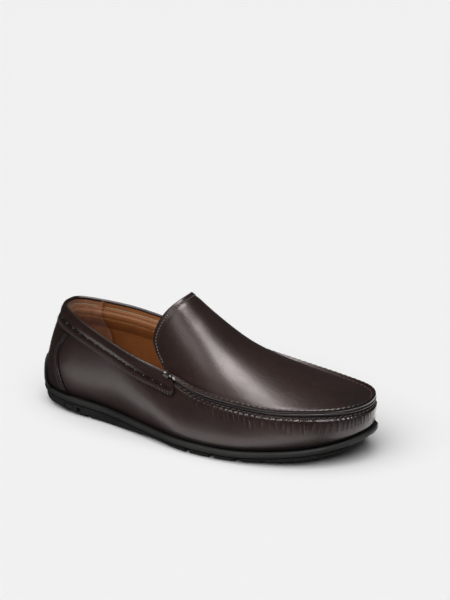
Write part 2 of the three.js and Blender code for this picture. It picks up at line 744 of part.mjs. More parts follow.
function add(name, geometry, material) {
  const mesh = new THREE.Mesh(geometry, material);
  mesh.name = name;
  moccasin.add(mesh);
}

add('outsole', outsole(), blackRubber);
add('insole_board', insoleBoard(), fibreboard);
add('shank', shank(), springSteel);
add('forepart_filler', forepartFiller(), corkFiller);
add('footbed', footbed(), foam);
add('sock_lining', sockLining(), tanLining);
add('side_wall', sideWall(), brownCalf);
add('heel_counter', heelCounter(), stiffenerBoard);
add('side_stiffener_outer', sideStiffener(2, 7.5), stiffenerBoard);
add('side_stiffener_inner', sideStiffener(-6.3, -2), stiffenerBoard);
add('toe_puff', toePuff(), stiffenerBoard);
add('vamp_lining', vampLining(), tanLining);
add('quarter_lining_outer', quarterLining(1.62, CORNER_OUTER - 0.02), tanLining);
add('quarter_lining_inner', quarterLining(CORNER_INNER - STATIONS + 0.02, -1.62), tanLining);
add('heel_grip_lining', quarterLining(-1.6, 1.6), heelGrip);
add('collar_padding', collarPadding(), foam);
add('collar_band', collarBand(), brownCalf);
add('heel_backstay', heelBackstay(), brownCalf);
add('plug', plug(), brownCalf);
add('plug_lining', plugLining(), tanLining);
add('seam_thread', seamThread(), brownThread);
add('tongue_thread', tongueThread(), brownThread);
add('collar_thread', collarThread(), brownThread);
add('backstay_thread_outer', backstayThread(1), brownThread);
add('backstay_thread_inner', backstayThread(-1), brownThread);
add('corner_tie_outer', cornerTie(CORNER_OUTER), brownThread);
add('corner_tie_inner', cornerTie(CORNER_INNER - STATIONS), brownThread);

// The origin is on the ground, under the middle of the shoe's box.
const box = new THREE.Box3().setFromObject(moccasin);
const centre = box.getCenter(new THREE.Vector3());
moccasin.position.set(-centre.x, -centre.y, -box.min.z);

export default moccasin;
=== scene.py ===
"""Looks of a men's slip-on moccasin: burnished calf upper, tan lining, hand-sewn seam, rubber sole.

The shapes are worked out in millimetres on the shoe's own pattern, then laid in the frame of the
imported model, in metres. +X runs from heel to toe, +Y to the inner side of the foot, +Z up.
"""

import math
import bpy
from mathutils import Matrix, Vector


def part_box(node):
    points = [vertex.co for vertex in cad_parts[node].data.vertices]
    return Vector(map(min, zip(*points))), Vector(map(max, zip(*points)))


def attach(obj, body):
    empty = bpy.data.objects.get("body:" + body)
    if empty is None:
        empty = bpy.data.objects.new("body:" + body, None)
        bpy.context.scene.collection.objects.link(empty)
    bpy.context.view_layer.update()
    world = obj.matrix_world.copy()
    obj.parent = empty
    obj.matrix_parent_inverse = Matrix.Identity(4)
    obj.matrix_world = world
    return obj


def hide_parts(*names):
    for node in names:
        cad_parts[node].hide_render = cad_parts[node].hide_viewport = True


bl_info = {
    "name": "Moccasin looks",
    "version": (1, 0, 0),
    "blender": (4, 5, 0),
    "location": "3D View > Sidebar > Moccasin",
    "description": "Leather, lining, stitching, sole and stage of a slip-on moccasin",
    "category": "Object",
}

import bpy
import numpy as np
from mathutils import Matrix, Vector

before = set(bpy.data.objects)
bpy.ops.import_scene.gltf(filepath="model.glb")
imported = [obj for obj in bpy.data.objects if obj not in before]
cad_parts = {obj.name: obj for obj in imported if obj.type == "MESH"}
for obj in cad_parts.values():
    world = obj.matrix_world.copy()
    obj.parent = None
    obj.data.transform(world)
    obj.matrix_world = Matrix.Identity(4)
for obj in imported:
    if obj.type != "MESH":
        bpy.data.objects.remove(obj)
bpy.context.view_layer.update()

MM = 1000  # millimetres in a metre, and a pattern's frequency for features 1 mm apart

# The shoe's pattern, in millimetres. Stations run from the back of the heel along the outer side,
# round the toe and back along the inner side.
STATIONS = 17
CORNER_OUTER = 5
TOE_STATION = 9
CORNER_INNER = 13
TOPLINE_HEIGHT = 89
TONGUE_HEIGHT = 114
CORNER_HEIGHT = 59.5
TOE_HEIGHT = 43.5
HEEL_SEAT = 16
BALL_SEAT = 9.5
TOE_SEAT = 23
TOE_SPRING = 13
ARCH_LIFT = 2
WELT = 3
LEATHER = 1.6
BAND_LEATHER = 1.2
LINING = 1
GAP = 0.3
FLAT_BAND = -BAND_LEATHER - GAP
LINING_DEPTH = 3.2
COLLAR_WIDTH = 22
COLLAR_FOAM = 2.5
LASTING_MARGIN = 12
FOOTBED_BOTTOM = 4.1
FOOTBED = 3.5
SOCK = 1
SOLE_EDGE = [[0, 0], [8, -20], [32, -32], [75, -38], [118, -49], [158, -58.5], [205, -58],
             [250, -45], [281, -24], [295.5, 3], [290, 28], [264, 45], [215, 53], [165, 46],
             [115, 35], [60, 32.5], [15, 25]]
TOP_EDGE = [[21, 0], [25, -12.5], [43, -23.5], [72, -32], [98, -37], [129, -39.5], [180, -48.5],
            [232, -44.5], [273, -22.5], [290, 6], [286, 31.5], [262, 43.5], [215, 46],
            [130, 36.5], [100, 33], [64, 28.5], [28, 14]]
TOPLINE_RISE = [1, 0.966, 0.83, 0.525, 0.27, 0, 0, 0, 0, 0, 0, 0, 0, 0, 0.22, 0.565, 0.913]
LOWER_FULLNESS = [7, 6.5, 5, 4.5, 4.5, 4.5, 4.5, 4.5, 3.5, 3, 3.5, 4.5, 5, 4.5, 4, 4.5, 6]
UPPER_FULLNESS = [4, 4, 3, 2.5, 3, 3.5, 3.5, 3, 2, 1.5, 2, 3, 3.5, 3.5, 2.5, 2.5, 3.5]
INSTEP_RISE = [[105, 1.23], [131, 1], [150, 0.785], [180, 0.473], [210, 0.284], [240, 0.152],
               [265, 0.063], [292, 0]]
PLUG_HALF_WIDTH = [[105, 37], [129, 39.5], [150, 42.5], [180, 47], [210, 48], [240, 44.5],
                   [265, 38], [292, 31]]
PLUG_CENTRE = [[100, 0], [180, 0], [292, 4]]
PLUG_ROUNDNESS = 2.3
HEEL_SEAT_SHARE = [[0, 1], [40, 0.85], [90, 0.46], [140, 0], [300, 0]]
TOE_SEAT_SHARE = [[0, 0], [190, 0], [230, 0.185], [265, 0.48], [300, 1]]
TONGUE_EDGE = [[0, 133], [0.1, 132.7], [0.2, 131.8], [0.3, 130.3], [0.4, 128], [0.5, 125],
               [0.6, 121.5], [0.7, 118.3], [0.79, 117], [0.86, 120.5], [0.92, 125.6],
               [0.97, 130.3], [1, 133.7]]
BACKSTAY_OUTER = [[0, 2.1], [0.45, 1.5], [0.75, 1.8]]
BACKSTAY_INNER = [[0, 1.4], [0.45, 1.15], [0.75, 1.25]]
TREAD_GROOVES = [20, 38, 56, 160, 182, 204, 226, 248]
TREAD_GROOVE_WIDTH = 4.5
TREAD_GROOVE_DEPTH = 2.5
BAND_START = CORNER_INNER - STATIONS
COLLAR_START = BAND_START - 0.06
COLLAR_END = CORNER_OUTER + 0.06
PLUG_START = CORNER_OUTER + 0.1
TAB_END = 1.0445  # end of the collar's tabs, by the share of the way from heel to corner
TAB_REACH = 0.05  # share of that way in which a tab's end is rounded
GRIP_EDGE = [[0, 1.46], [8, 1.43], [18, 1.52], [32, 1.66], [75, 1.75]]

# Rows of the collar band, in millimetres below the topline, by the share of the way from the heel
# to the tongue's corner.
PUNCH_ROW = [[0, 9], [0.36, 9.5], [0.68, 9.8], [0.82, 11.8], [0.96, 13], [1.1, 13]]
BAND_EDGE = [[0, 16.5], [0.36, 17], [0.56, 17.2], [0.7, 18.8], [0.88, 20.3], [1.1, 20.8]]

BAND_ROWS = (1.9, 3.3)  # stitching, up from the band's lower edge
CHANNELS = (7.7, 13.2)  # rows stitched through the lining, below the topline
SMALL_PUNCH_RISE = (-0.95, 0.95)  # the pairs of small holes, from the row of the large ones
TOP_ZONE = 11  # finely divided part of the wall, below its top edge
SEAM_ROW = 4.8  # hand stitches on the wall, below its top edge
BACK_LENGTH = 70  # the wall at the back seam, from sole to topline

# Sections of the seam, in millimetres: distance from the seam's top edge and lift off the surface.
WALL_SECTION = [[-0.5, -1.1], [0, -0.9], [0.7, -0.4], [1.3, 0.7], [2, 1], [2.7, 0.8], [3.3, -0.3],
                [3.9, -0.9], [4.8, -1], [5.7, -0.85], [6.4, -0.35], [7.4, 0.25], [9.5, 0.5],
                [13, 0.4], [18, 0.15], [24, 0]]
BEAD_SECTION = [[-0.6, -1.7], [-1, -0.6], [-1.1, 0.4], [-0.8, 1.35], [-0.1, 2.1], [0.8, 2.4],
                [1.4, 2.05], [1.8, 1.25], [2.1, 0.5], [2.5, 0.1], [3.2, 0], [4.4, 0.1], [6.5, 0.15]]
COLLAR_LEG = [[3, -1.8], [5, -2.05], [7, -1.85], [9, -1.4], [10.4, -1.4], [12, -1.55], [16, -1.5],
              [24, -1.4]]
COLLAR_ROLL = [[3, -1.8], [1, -1.6], [-0.1, -1.1], [-0.7, -0.3], [-0.7, 0.5], [-0.3, 1.2],
               [0.3, 1.6], [1, 1.8]]
LINING_TOP = [[0, 1.4], [2, 2], [5, 3], [9, 4.2], [12, 4.2]]
PLEAT_STRENGTH = [[5.2, 0], [5.7, 0.7], [6.2, 1.5], [7.5, 1.6], [8.1, 1.2], [8.5, 0.5], [9.3, 0.35],
                  [10, 0.6], [11, 1], [12.2, 0.6], [12.8, 0]]
PLEAT_SPACING = (3.4, 6.2)
PLEAT_REACH = (7, 14)
PLEAT_SEED = 7


# Smooth values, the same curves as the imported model's.
def around(values, s):
    """Value at station s, from one number or one row of numbers for each station."""
    table = np.asarray(values, float)
    s = np.asarray(s, float)
    i = np.floor(s).astype(int)
    f = s - i
    if table.ndim > 1:
        f = f[..., None]
    a, b, c, d = (table[(i + k) % len(table)] for k in (-1, 0, 1, 2))
    square = 2 * a - 5 * b + 4 * c - d
    cube = 3 * b - a - 3 * c + d
    return 0.5 * (2 * b + (c - a) * f + square * f * f + cube * f * f * f)


def along(table, x):
    """Value at x of the smooth curve through a table of [x, value] rows."""
    at, value = np.asarray(table, float).T
    x = np.clip(x, at[0], at[-1])
    count = len(at)
    before = np.maximum(np.arange(count) - 1, 0)
    after = np.minimum(np.arange(count) + 1, count - 1)
    slope = (value[after] - value[before]) / (at[after] - at[before])
    i = np.clip(np.searchsorted(at, x, side="right") - 1, 0, count - 2)
    width = at[i + 1] - at[i]
    t = (x - at[i]) / width
    start = value[i] * (1 + 2 * t) + slope[i] * width * t
    end = value[i + 1] * (3 - 2 * t) - slope[i + 1] * width * (1 - t)
    return start * (1 - t) ** 2 + end * t ** 2


def curve(points, count):
    """count points evenly spread over a smooth curve through a few points."""
    rows = np.asarray(points, float)
    k = np.linspace(0, len(rows) - 1, count)
    columns = [along(list(zip(range(len(rows)), rows[:, c])), k) for c in range(rows.shape[1])]
    return np.stack(columns, -1)


def smoothstep(x, low, high):
    t = np.clip((x - low) / (high - low), 0, 1)
    return t * t * (3 - 2 * t)


def lerp(a, b, t):
    return a + (b - a) * t


def ridge(x, centre, width):
    """A smooth hump, 1 high at its centre."""
    return np.exp(-((x - centre) / width) ** 2)


def run_length(path):
    """Distance walked along a path, at each of its points."""
    steps = np.linalg.norm(np.diff(path, axis=0), axis=1)
    return np.concatenate([[0], np.cumsum(steps)])


def spaced(stations, path, spacing):
    """Stations at even distances along the path that belongs to the given stations."""
    length = run_length(path)
    count = max(2, round(length[-1] / spacing))
    return np.interp(np.linspace(0, length[-1], count + 1), length, stations)


def unit(v):
    return v / np.maximum(np.linalg.norm(v, axis=-1, keepdims=True), 1e-9)


def flat_outward(edge, s):
    """Unit vector in plan, out of a closed edge at station s."""
    step = 0.01
    way = unit(around(edge, s + step) - around(edge, s - step))
    return np.stack([way[..., 1], -way[..., 0]], -1)


# Heights and surfaces of the shoe.
def seat_height(x):
    heel = along(HEEL_SEAT_SHARE, x) * (HEEL_SEAT - BALL_SEAT)
    toe = along(TOE_SEAT_SHARE, x) * (TOE_SEAT - BALL_SEAT)
    return BALL_SEAT + heel + toe


def tread_height(x):
    heel = 2.5 * np.clip(1 - x / 12, 0, 1) ** 2
    arch = ARCH_LIFT * np.sin(np.pi * np.clip((x - 80) / 80, 0, 1)) ** 2
    toe = TOE_SPRING * np.clip((x - 238) / 58, 0, 1) ** 2
    return heel + arch + toe


def arch_height(x, y):
    across = np.abs(y - along(PLUG_CENTRE, x)) / along(PLUG_HALF_WIDTH, x)
    drop = (TONGUE_HEIGHT - CORNER_HEIGHT) * across ** PLUG_ROUNDNESS
    return TOE_HEIGHT + along(INSTEP_RISE, x) * (TONGUE_HEIGHT - TOE_HEIGHT - drop)


def arch_normal(x, y):
    step = 0.5
    slope_x = (arch_height(x + step, y) - arch_height(x - step, y)) / (2 * step)
    slope_y = (arch_height(x, y + step) - arch_height(x, y - step)) / (2 * step)
    return unit(np.stack([-slope_x, -slope_y, np.ones_like(slope_x)], -1))


def arch_point(x, y, lift=0.0):
    lift = np.broadcast_to(np.asarray(lift, float), np.shape(x))[..., None]
    return np.stack([x, y, arch_height(x, y)], -1) + arch_normal(x, y) * lift


def sole_edge(s, inset):
    inset = np.asarray(inset, float)[..., None]
    return around(SOLE_EDGE, s) - flat_outward(SOLE_EDGE, s) * inset


def wall_foot(s, inset=WELT):
    p = sole_edge(s, np.broadcast_to(inset, np.shape(s)))
    return np.concatenate([p, seat_height(p[..., :1]) + GAP], -1)


def topline_heights():
    stations = np.arange(STATIONS)
    edge = np.array(TOP_EDGE, float)
    seam = arch_height(edge[:, 0], edge[:, 1])
    corner = np.where(stations < CORNER_OUTER, seam[CORNER_OUTER], seam[CORNER_INNER])
    collar = lerp(corner, TOPLINE_HEIGHT, np.array(TOPLINE_RISE))
    on_seam = (stations >= CORNER_OUTER) & (stations <= CORNER_INNER)
    return np.where(on_seam, seam, collar)


TOP_HEIGHTS = topline_heights()


def top_edge(s):
    s = np.asarray(s, float)
    p = around(TOP_EDGE, s)
    turn = np.mod(s, STATIONS)
    on_seam = (turn > CORNER_OUTER) & (turn < CORNER_INNER)
    z = np.where(on_seam, arch_height(p[..., 0], p[..., 1]), around(TOP_HEIGHTS, s))
    return np.concatenate([p, z[..., None]], -1)


def wall_length(s):
    return np.linalg.norm(top_edge(s) - wall_foot(s), axis=-1)


def wall_surface(s, t):
    foot = wall_foot(s)
    top = top_edge(s)
    side = flat_outward(SOLE_EDGE, s)
    out = np.concatenate([side, np.zeros_like(side[..., :1])], -1)
    low = lerp(foot, top, 1 / 3) + out * around(LOWER_FULLNESS, s)[..., None]
    high = lerp(foot, top, 2 / 3) + out * around(UPPER_FULLNESS, s)[..., None]
    t = np.asarray(t, float)[..., None]
    r = 1 - t
    return foot * r ** 3 + low * 3 * t * r * r + high * 3 * t * t * r + top * t ** 3


def wall_frame(s, t):
    """Unit vectors along, up and out of the wall."""
    step = 0.01
    base = np.clip(t, step, 1 - step)
    forward = unit(wall_surface(s + step, base) - wall_surface(s - step, base))
    up = unit(wall_surface(s, base + step) - wall_surface(s, base - step))
    return forward, up, unit(np.cross(forward, up))


def below_top(s, distance, lift=0.0):
    """Point on the wall by its distance down from the top edge, and its lift off the surface."""
    s, distance, lift = np.broadcast_arrays(np.asarray(s, float), distance, lift)
    t = np.minimum(1 - distance / wall_length(s), 1)
    _, up, out = wall_frame(s, t)
    over = np.minimum(distance, 0)[..., None]
    return wall_surface(s, t) + out * lift[..., None] - up * over


def even_stations(start, end, spacing, distance=0):
    """Stations from start to end, spaced evenly along the wall at a distance below its top."""
    fine = np.linspace(start, end, 2000)
    return spaced(fine, below_top(fine, distance), spacing)


def seam_length(s):
    """Length along the shoe's top edge from the outer corner to station s."""
    fine = np.linspace(CORNER_OUTER - 1, CORNER_INNER + 1, 3000)
    return np.interp(s, fine, run_length(top_edge(fine)))


def pattern_offset():
    """Place of the pattern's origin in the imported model's frame, in millimetres."""
    fine = around(SOLE_EDGE, np.linspace(0, STATIONS, 4000))
    low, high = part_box("outsole")
    middle = (np.array(low) + np.array(high)) / 2 * MM
    x, y = (fine.min(0) + fine.max(0)) / 2
    return np.array([middle[0] - x, middle[1] - y, 0])


OFFSET = pattern_offset()


def to_frame(points):
    return (np.asarray(points) + OFFSET) / MM


# Mesh helpers. Edges that turn more than an angle, in degrees, stay sharp.
SOFT_ANGLE = 60
EDGE_ANGLE = 50
MOULD_ANGLE = 35


def select_only(*chosen):
    bpy.ops.object.select_all(action="DESELECT")
    for piece in chosen:
        piece.select_set(True)
    bpy.context.view_layer.objects.active = chosen[0]


def read_points(piece):
    flat = np.empty(len(piece.data.vertices) * 3)
    piece.data.vertices.foreach_get("co", flat)
    return flat.reshape(-1, 3)


def write_points(piece, points):
    piece.data.vertices.foreach_set("co", np.ascontiguousarray(points, float).ravel())
    piece.data.update()


def added(primitive, **settings):
    """The object that a primitive's operator adds."""
    bpy.ops.object.select_all(action="DESELECT")
    primitive(**settings)
    return bpy.context.object


def laid_grid(name, points, burnish_and_shade=None):
    """A grid primitive laid over points[column, row], which are in pattern millimetres."""
    columns, rows = points.shape[:2]
    piece = added(bpy.ops.mesh.primitive_grid_add, x_subdivisions=columns - 1,
                  y_subdivisions=rows - 1, size=2)
    piece.name = name
    piece.data.name = name
    flat = read_points(piece)
    column = np.rint((flat[:, 0] + 1) / 2 * (columns - 1)).astype(int)
    row = np.rint((flat[:, 1] + 1) / 2 * (rows - 1)).astype(int)
    write_points(piece, to_frame(points[column, row]))
    if burnish_and_shade is not None:
        values = np.broadcast_to(burnish_and_shade, (columns, rows))[column, row]
        attribute = piece.data.attributes.new("burnish_and_shade", "FLOAT", "POINT")
        attribute.data.foreach_set("value", values.astype(np.float32))
    return piece


def weld(piece, distance=0.00002):
    """Merges doubled points, so that a grid wrapped on itself closes."""
    select_only(piece)
    bpy.ops.object.mode_set(mode="EDIT")
    bpy.ops.mesh.select_all(action="SELECT")
    bpy.ops.mesh.remove_doubles(threshold=distance)
    bpy.ops.mesh.dissolve_degenerate(threshold=0.000001)
    bpy.ops.mesh.select_all(action="DESELECT")
    bpy.ops.object.mode_set(mode="OBJECT")


def thicken(piece, thickness, back=0):
    """Gives a sheet its thickness behind its face. Back counts the materials on to the back's."""
    select_only(piece)
    solid = piece.modifiers.new("thickness", "SOLIDIFY")
    solid.thickness = thickness / MM
    solid.offset = -1
    solid.material_offset = back
    bpy.ops.object.modifier_apply(modifier=solid.name)


def cut(piece, tool):
    """Cuts the tool's shape out of a piece."""
    select_only(piece)
    hole = piece.modifiers.new("cut", "BOOLEAN")
    hole.operation = "DIFFERENCE"
    hole.solver = "EXACT"
    hole.object = tool
    bpy.ops.object.modifier_apply(modifier=hole.name)
    bpy.data.objects.remove(tool)


def join(name, pieces):
    select_only(*pieces)
    bpy.ops.object.join()
    joined = bpy.context.object
    joined.name = name
    joined.data.name = name
    return joined


def smooth(piece, degrees):
    select_only(piece)
    bpy.ops.object.shade_smooth_by_angle(angle=math.radians(degrees))


def placing(origin, forward, out, scale=(1, 1, 1)):
    """Matrix that lays a source, made along X with its outside up Z, at a point of a surface."""
    side = unit(np.cross(out, forward))
    forward = unit(np.cross(side, out))
    turn = Matrix([[forward[k], side[k], out[k]] for k in range(3)]).to_4x4()
    size = Matrix.Diagonal(Vector((*scale, 1)))
    return Matrix.Translation(Vector(to_frame(origin))) @ turn @ size


def placings(at, forward, out):
    return [placing(*row) for row in zip(at, forward, out)]


def copies(name, source, places):
    """One piece of many copies of a source, each with a mesh of its own at its own place."""
    made = []
    for place in places:
        twin = source.copy()
        twin.data = source.data.copy()
        twin.data.transform(place)
        bpy.context.scene.collection.objects.link(twin)
        made.append(twin)
    bpy.data.objects.remove(source)
    return join(name, made)


def stitch_source(length, thickness, segments=8, rings=7):
    """One stitch: a round thread whose two ends dive into the leather. Metres, along X."""
    stitch = added(bpy.ops.mesh.primitive_uv_sphere_add, segments=segments, ring_count=rings,
                   radius=1)
    bpy.ops.object.mode_set(mode="EDIT")
    bpy.ops.mesh.select_all(action="SELECT")
    bpy.ops.transform.rotate(value=math.pi / 2, orient_axis="Y", center_override=(0, 0, 0))
    bpy.ops.object.mode_set(mode="OBJECT")
    points = read_points(stitch)
    x = np.sign(points[:, 0]) * np.abs(points[:, 0]) ** 0.8
    arched = points[:, 2] * thickness / 2 - 0.55 * thickness * x ** 4
    shaped = np.stack([x * length / 2, points[:, 1] * thickness / 2, arched], -1)
    write_points(stitch, shaped / MM)
    select_only(stitch)
    bpy.ops.object.shade_smooth()
    return stitch


def hole_source(diameter, depth, sides):
    """A punch: a plain round cutter, in metres, standing along Z."""
    return added(bpy.ops.mesh.primitive_cylinder_add, vertices=sides,
                 radius=diameter / 2 / MM, depth=depth / MM)


# Material helpers.
def linear(hex_code):
    """Linear colour of an sRGB hex value."""
    parts = [int(hex_code[k:k + 2], 16) / 255 for k in (1, 3, 5)]
    return [c / 12.92 if c <= 0.04045 else ((c + 0.055) / 1.055) ** 2.4 for c in parts]


def add_node(tree, kind, inputs=None, **settings):
    """Adds a node with its settings; inputs maps a socket to a value or to a socket it reads."""
    made = tree.nodes.new(kind)
    for name, value in settings.items():
        setattr(made, name, value)
    for key, value in (inputs or {}).items():
        if isinstance(value, bpy.types.NodeSocket):
            tree.links.new(value, made.inputs[key])
        else:
            made.inputs[key].default_value = value
    return made


def new_material(name):
    made = bpy.data.materials.new(name)
    made.use_nodes = True
    tree = made.node_tree
    return made, tree, tree.nodes["Principled BSDF"]


def object_place(tree):
    return add_node(tree, "ShaderNodeTexCoord").outputs["Object"]


def noise(tree, place, width, detail, roughness=0.5):
    """Noise whose patches are about a width across, in millimetres."""
    return add_node(tree, "ShaderNodeTexNoise", {
        "Vector": place, "Scale": MM / width, "Detail": detail,
        "Roughness": roughness}).outputs["Fac"]


def cells(tree, place, width):
    """Distance from the middle of cells that are about a width across, in millimetres."""
    return add_node(tree, "ShaderNodeTexVoronoi", {
        "Vector": place, "Scale": MM / width}).outputs["Distance"]


def ranged(tree, value, low, high, to_low, to_high):
    return add_node(tree, "ShaderNodeMapRange", {
        "Value": value, "From Min": low, "From Max": high, "To Min": to_low,
        "To Max": to_high}).outputs["Result"]


def multiplied(tree, a, b):
    return add_node(tree, "ShaderNodeMath", {0: a, 1: b}, operation="MULTIPLY").outputs[0]


def blended(tree, share, a, b):
    """Colour a where the share is 0, and b where it is 1."""
    return add_node(tree, "ShaderNodeMix", {
        "Factor": share, 6: rgba(a), 7: rgba(b)}, data_type="RGBA").outputs[2]


def bumped(tree, height, strength, depth, **normal):
    """Relief of a depth in millimetres."""
    return add_node(tree, "ShaderNodeBump", {
        "Height": height, "Strength": strength, "Distance": depth / MM,
        **normal}).outputs["Normal"]


def with_burnish_and_shade(tree, patches):
    """Share of the darker colour: soft patches of dye, and the mesh's attribute that holds burnish
    and painted shade.
    """
    burnish_and_shade = add_node(tree, "ShaderNodeAttribute", attribute_name="burnish_and_shade").outputs["Fac"]
    return add_node(tree, "ShaderNodeMath", {0: patches, 1: burnish_and_shade}, operation="ADD",
                    use_clamp=True).outputs[0]


def rgba(colour):
    return (*colour, 1)


def set_sockets(shader, tree, **values):
    """Sets or links the shader's sockets; an underscore stands for a space in a socket's name."""
    for key, value in values.items():
        socket = shader.inputs[key.replace("_", " ")]
        if isinstance(value, bpy.types.NodeSocket):
            tree.links.new(value, socket)
        else:
            socket.default_value = value


def calf_material(name, body, dark, roughness):
    """Aniline-dyed calf, polished and burnished: hair-fine grain under a soft wax shine, darker
    where its mesh's attribute holds burnish at seams and edges and painted shade in recesses."""
    made, tree, shader = new_material(name)
    place = object_place(tree)
    patches = ranged(tree, noise(tree, place, 38, 3.0, 0.55), 0.35, 0.75, 0, 0.45)
    pore = cells(tree, place, 0.9)
    wrinkle = noise(tree, place, 3.2, 5.0, 0.62)
    colour = blended(tree, with_burnish_and_shade(tree, patches), body, dark)
    speck = ranged(tree, pore, 0.1, 0.8, 0.86, 1.06)
    speckled = add_node(tree, "ShaderNodeVectorMath", {0: colour, 1: speck}, operation="MULTIPLY")
    # The grain's cells are about 0.4 mm on the skin. They are drawn 0.9 mm wide so that they show.
    grain = bumped(tree, pore, 0.3, 0.2)
    skin = bumped(tree, wrinkle, 0.25, 0.4, Normal=grain)
    gloss = ranged(tree, wrinkle, 0.3, 0.7, roughness - 0.04, roughness + 0.06)
    set_sockets(shader, tree, Base_Color=speckled.outputs["Vector"], Normal=skin, Roughness=gloss,
                IOR=1.5, Specular_Tint=(1, 0.92, 0.89, 1), Coat_Weight=0.25, Coat_Roughness=0.22,
                Coat_IOR=1.45, Coat_Tint=(1, 0.94, 0.92, 1))
    return made


def lining_material(name, body, dark):
    """Vegetable-tanned lining calf, left unpolished: matt tan in darker patches, with painted
    shade where its mesh's attribute marks the stitched channels and the depth of the shoe.
    """
    made, tree, shader = new_material(name)
    place = object_place(tree)
    patches = ranged(tree, noise(tree, place, 16, 4.0, 0.6), 0.3, 0.7, 0, 0.5)
    colour = blended(tree, with_burnish_and_shade(tree, patches), body, dark)
    bump = bumped(tree, cells(tree, place, 1.1), 0.18, 0.3)
    set_sockets(shader, tree, Base_Color=colour, Normal=bump, Roughness=0.55, IOR=1.5)
    return made


def suede_material(name, body, dark):
    """Split suede of the heel grip, sanded to a short nap: soft, matt, lighter at a low angle."""
    made, tree, shader = new_material(name)
    place = object_place(tree)
    nap = noise(tree, place, 0.8, 4.0, 0.7)
    brushed = noise(tree, place, 9, 3.0)
    share = ranged(tree, multiplied(tree, nap, brushed), 0.14, 0.38, 0, 1)
    colour = blended(tree, share, dark, body)
    bump = bumped(tree, nap, 0.35, 0.3)
    set_sockets(shader, tree, Base_Color=colour, Normal=bump, Roughness=0.9, Sheen_Weight=0.35,
                Sheen_Roughness=0.5)
    return made


def rubber_material(name, body, paler):
    """Black thermoplastic rubber, injection moulded in a spark-eroded mould: even, fine, dull."""
    made, tree, shader = new_material(name)
    place = object_place(tree)
    cloud = noise(tree, place, 22, 3.0)
    # The mould's spark texture is about 0.1 mm. It is drawn 0.6 mm so that it shows.
    spark = noise(tree, place, 0.6, 2.0)
    colour = blended(tree, cloud, body, paler)
    bump = bumped(tree, spark, 0.25, 0.2)
    gloss = ranged(tree, cloud, 0, 1, 0.46, 0.62)
    set_sockets(shader, tree, Base_Color=colour, Normal=bump, Roughness=gloss, IOR=1.52,
                Specular_IOR_Level=0.3)
    return made


def thread_material(name, body, light, plies):
    """Waxed twisted polyester: plies run slantwise round the thread, each with a painted highlight
    in the lighter colour.
    """
    made, tree, shader = new_material(name)
    turns = add_node(tree, "ShaderNodeTexCoord").outputs["UV"]
    twist = add_node(tree, "ShaderNodeMapping", {
        "Vector": turns, "Rotation": (0, 0, math.radians(38))})
    ply = add_node(tree, "ShaderNodeTexWave", {
        "Vector": twist.outputs["Vector"], "Scale": plies / 2, "Distortion": 0.4}).outputs["Fac"]
    colour = blended(tree, ply, body, light)
    bump = bumped(tree, ply, 0.6, 0.3)
    set_sockets(shader, tree, Base_Color=colour, Normal=bump, Roughness=0.5, IOR=1.5)
    return made


def foam_material(name, body, dark):
    """Open-cell polyurethane foam, sliced from a block: pale, matt, full of fine cells."""
    made, tree, shader = new_material(name)
    cell = cells(tree, object_place(tree), 0.8)
    colour = blended(tree, cell, dark, body)
    set_sockets(shader, tree, Base_Color=colour, Normal=bumped(tree, cell, 0.6, 0.4),
                Roughness=0.95)
    return made


def board_material(name, body, dark, fleck):
    """Pressed fibre or cork sheet: flecks of a given width in a matt body."""
    made, tree, shader = new_material(name)
    place = object_place(tree)
    fibre = noise(tree, place, fleck * 2, 5.0, 0.7)
    mixed = multiplied(tree, cells(tree, place, fleck), fibre)
    colour = blended(tree, ranged(tree, mixed, 0.05, 0.35, 0, 1), dark, body)
    set_sockets(shader, tree, Base_Color=colour, Normal=bumped(tree, mixed, 0.4, 0.3),
                Roughness=0.88)
    return made


def steel_material(name):
    """Spring steel strip, cold rolled: grey, with fine rolling lines along its length."""
    made, tree, shader = new_material(name)
    stretched = add_node(tree, "ShaderNodeMapping", {
        "Vector": object_place(tree), "Scale": (MM / 30, MM / 0.5, MM / 0.5)})
    lines = noise(tree, stretched.outputs["Vector"], MM, 3.0)
    gloss = ranged(tree, lines, 0, 1, 0.28, 0.5)
    set_sockets(shader, tree, Base_Color=rgba(linear("#9a9da0")), Metallic=1.0, Roughness=gloss,
                Normal=bumped(tree, lines, 0.1, 0.1))
    return made


def once(name, make, *details):
    """The material of that name, made the first time it is asked for."""
    found = bpy.data.materials.get(name)
    return found or make(name, *details)


def dress(piece, material):
    piece.data.materials.clear()
    piece.data.materials.append(material)


def hand_over(piece, slot, *nodes):
    """Rides the shoe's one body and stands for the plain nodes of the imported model."""
    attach(piece, "root")
    if nodes:
        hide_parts(*nodes)


def complete(piece, degrees, material, slot, *nodes):
    """Smooths a piece up to an angle, dresses it and hands it over."""
    smooth(piece, degrees)
    dress(piece, material)
    hand_over(piece, slot, *nodes)


# What a user would change.
def colour_setting(name, description, code):
    return bpy.props.FloatVectorProperty(
        name=name, description=description, size=3, subtype="COLOR", min=0, max=1,
        default=linear(code))


def length_setting(name, description, value, low, high):
    return bpy.props.FloatProperty(
        name=name, description=description, default=value, min=low, max=high, unit="LENGTH")


class MoccasinColours(bpy.types.PropertyGroup):
    calf: colour_setting("Calf", "Body colour of the burnished calf", "#2b1b18")
    # The burnish colour also paints shade: at the wall's foot, under the seam's bead and in the
    # punched holes.
    calf_dark: colour_setting("Burnish", "Colour of the calf at its seams and edges", "#0f0b0a")
    lining: colour_setting("Lining", "Tan lining leather", "#9a5e2e")
    # The lining's darker colour also paints shade in its stitched channels and deep in the shoe.
    lining_dark: colour_setting("Lining shade", "Darker patches of the lining", "#74451f")
    grip: colour_setting("Heel grip", "Suede at the back of the heel", "#a87250")
    rubber: colour_setting("Rubber", "Sole rubber", "#1e1d1d")
    thread: colour_setting("Thread", "Sewing thread", "#2a2220")
    floor: colour_setting("Floor", "Pale floor under the shoe", "#f0f0f0")


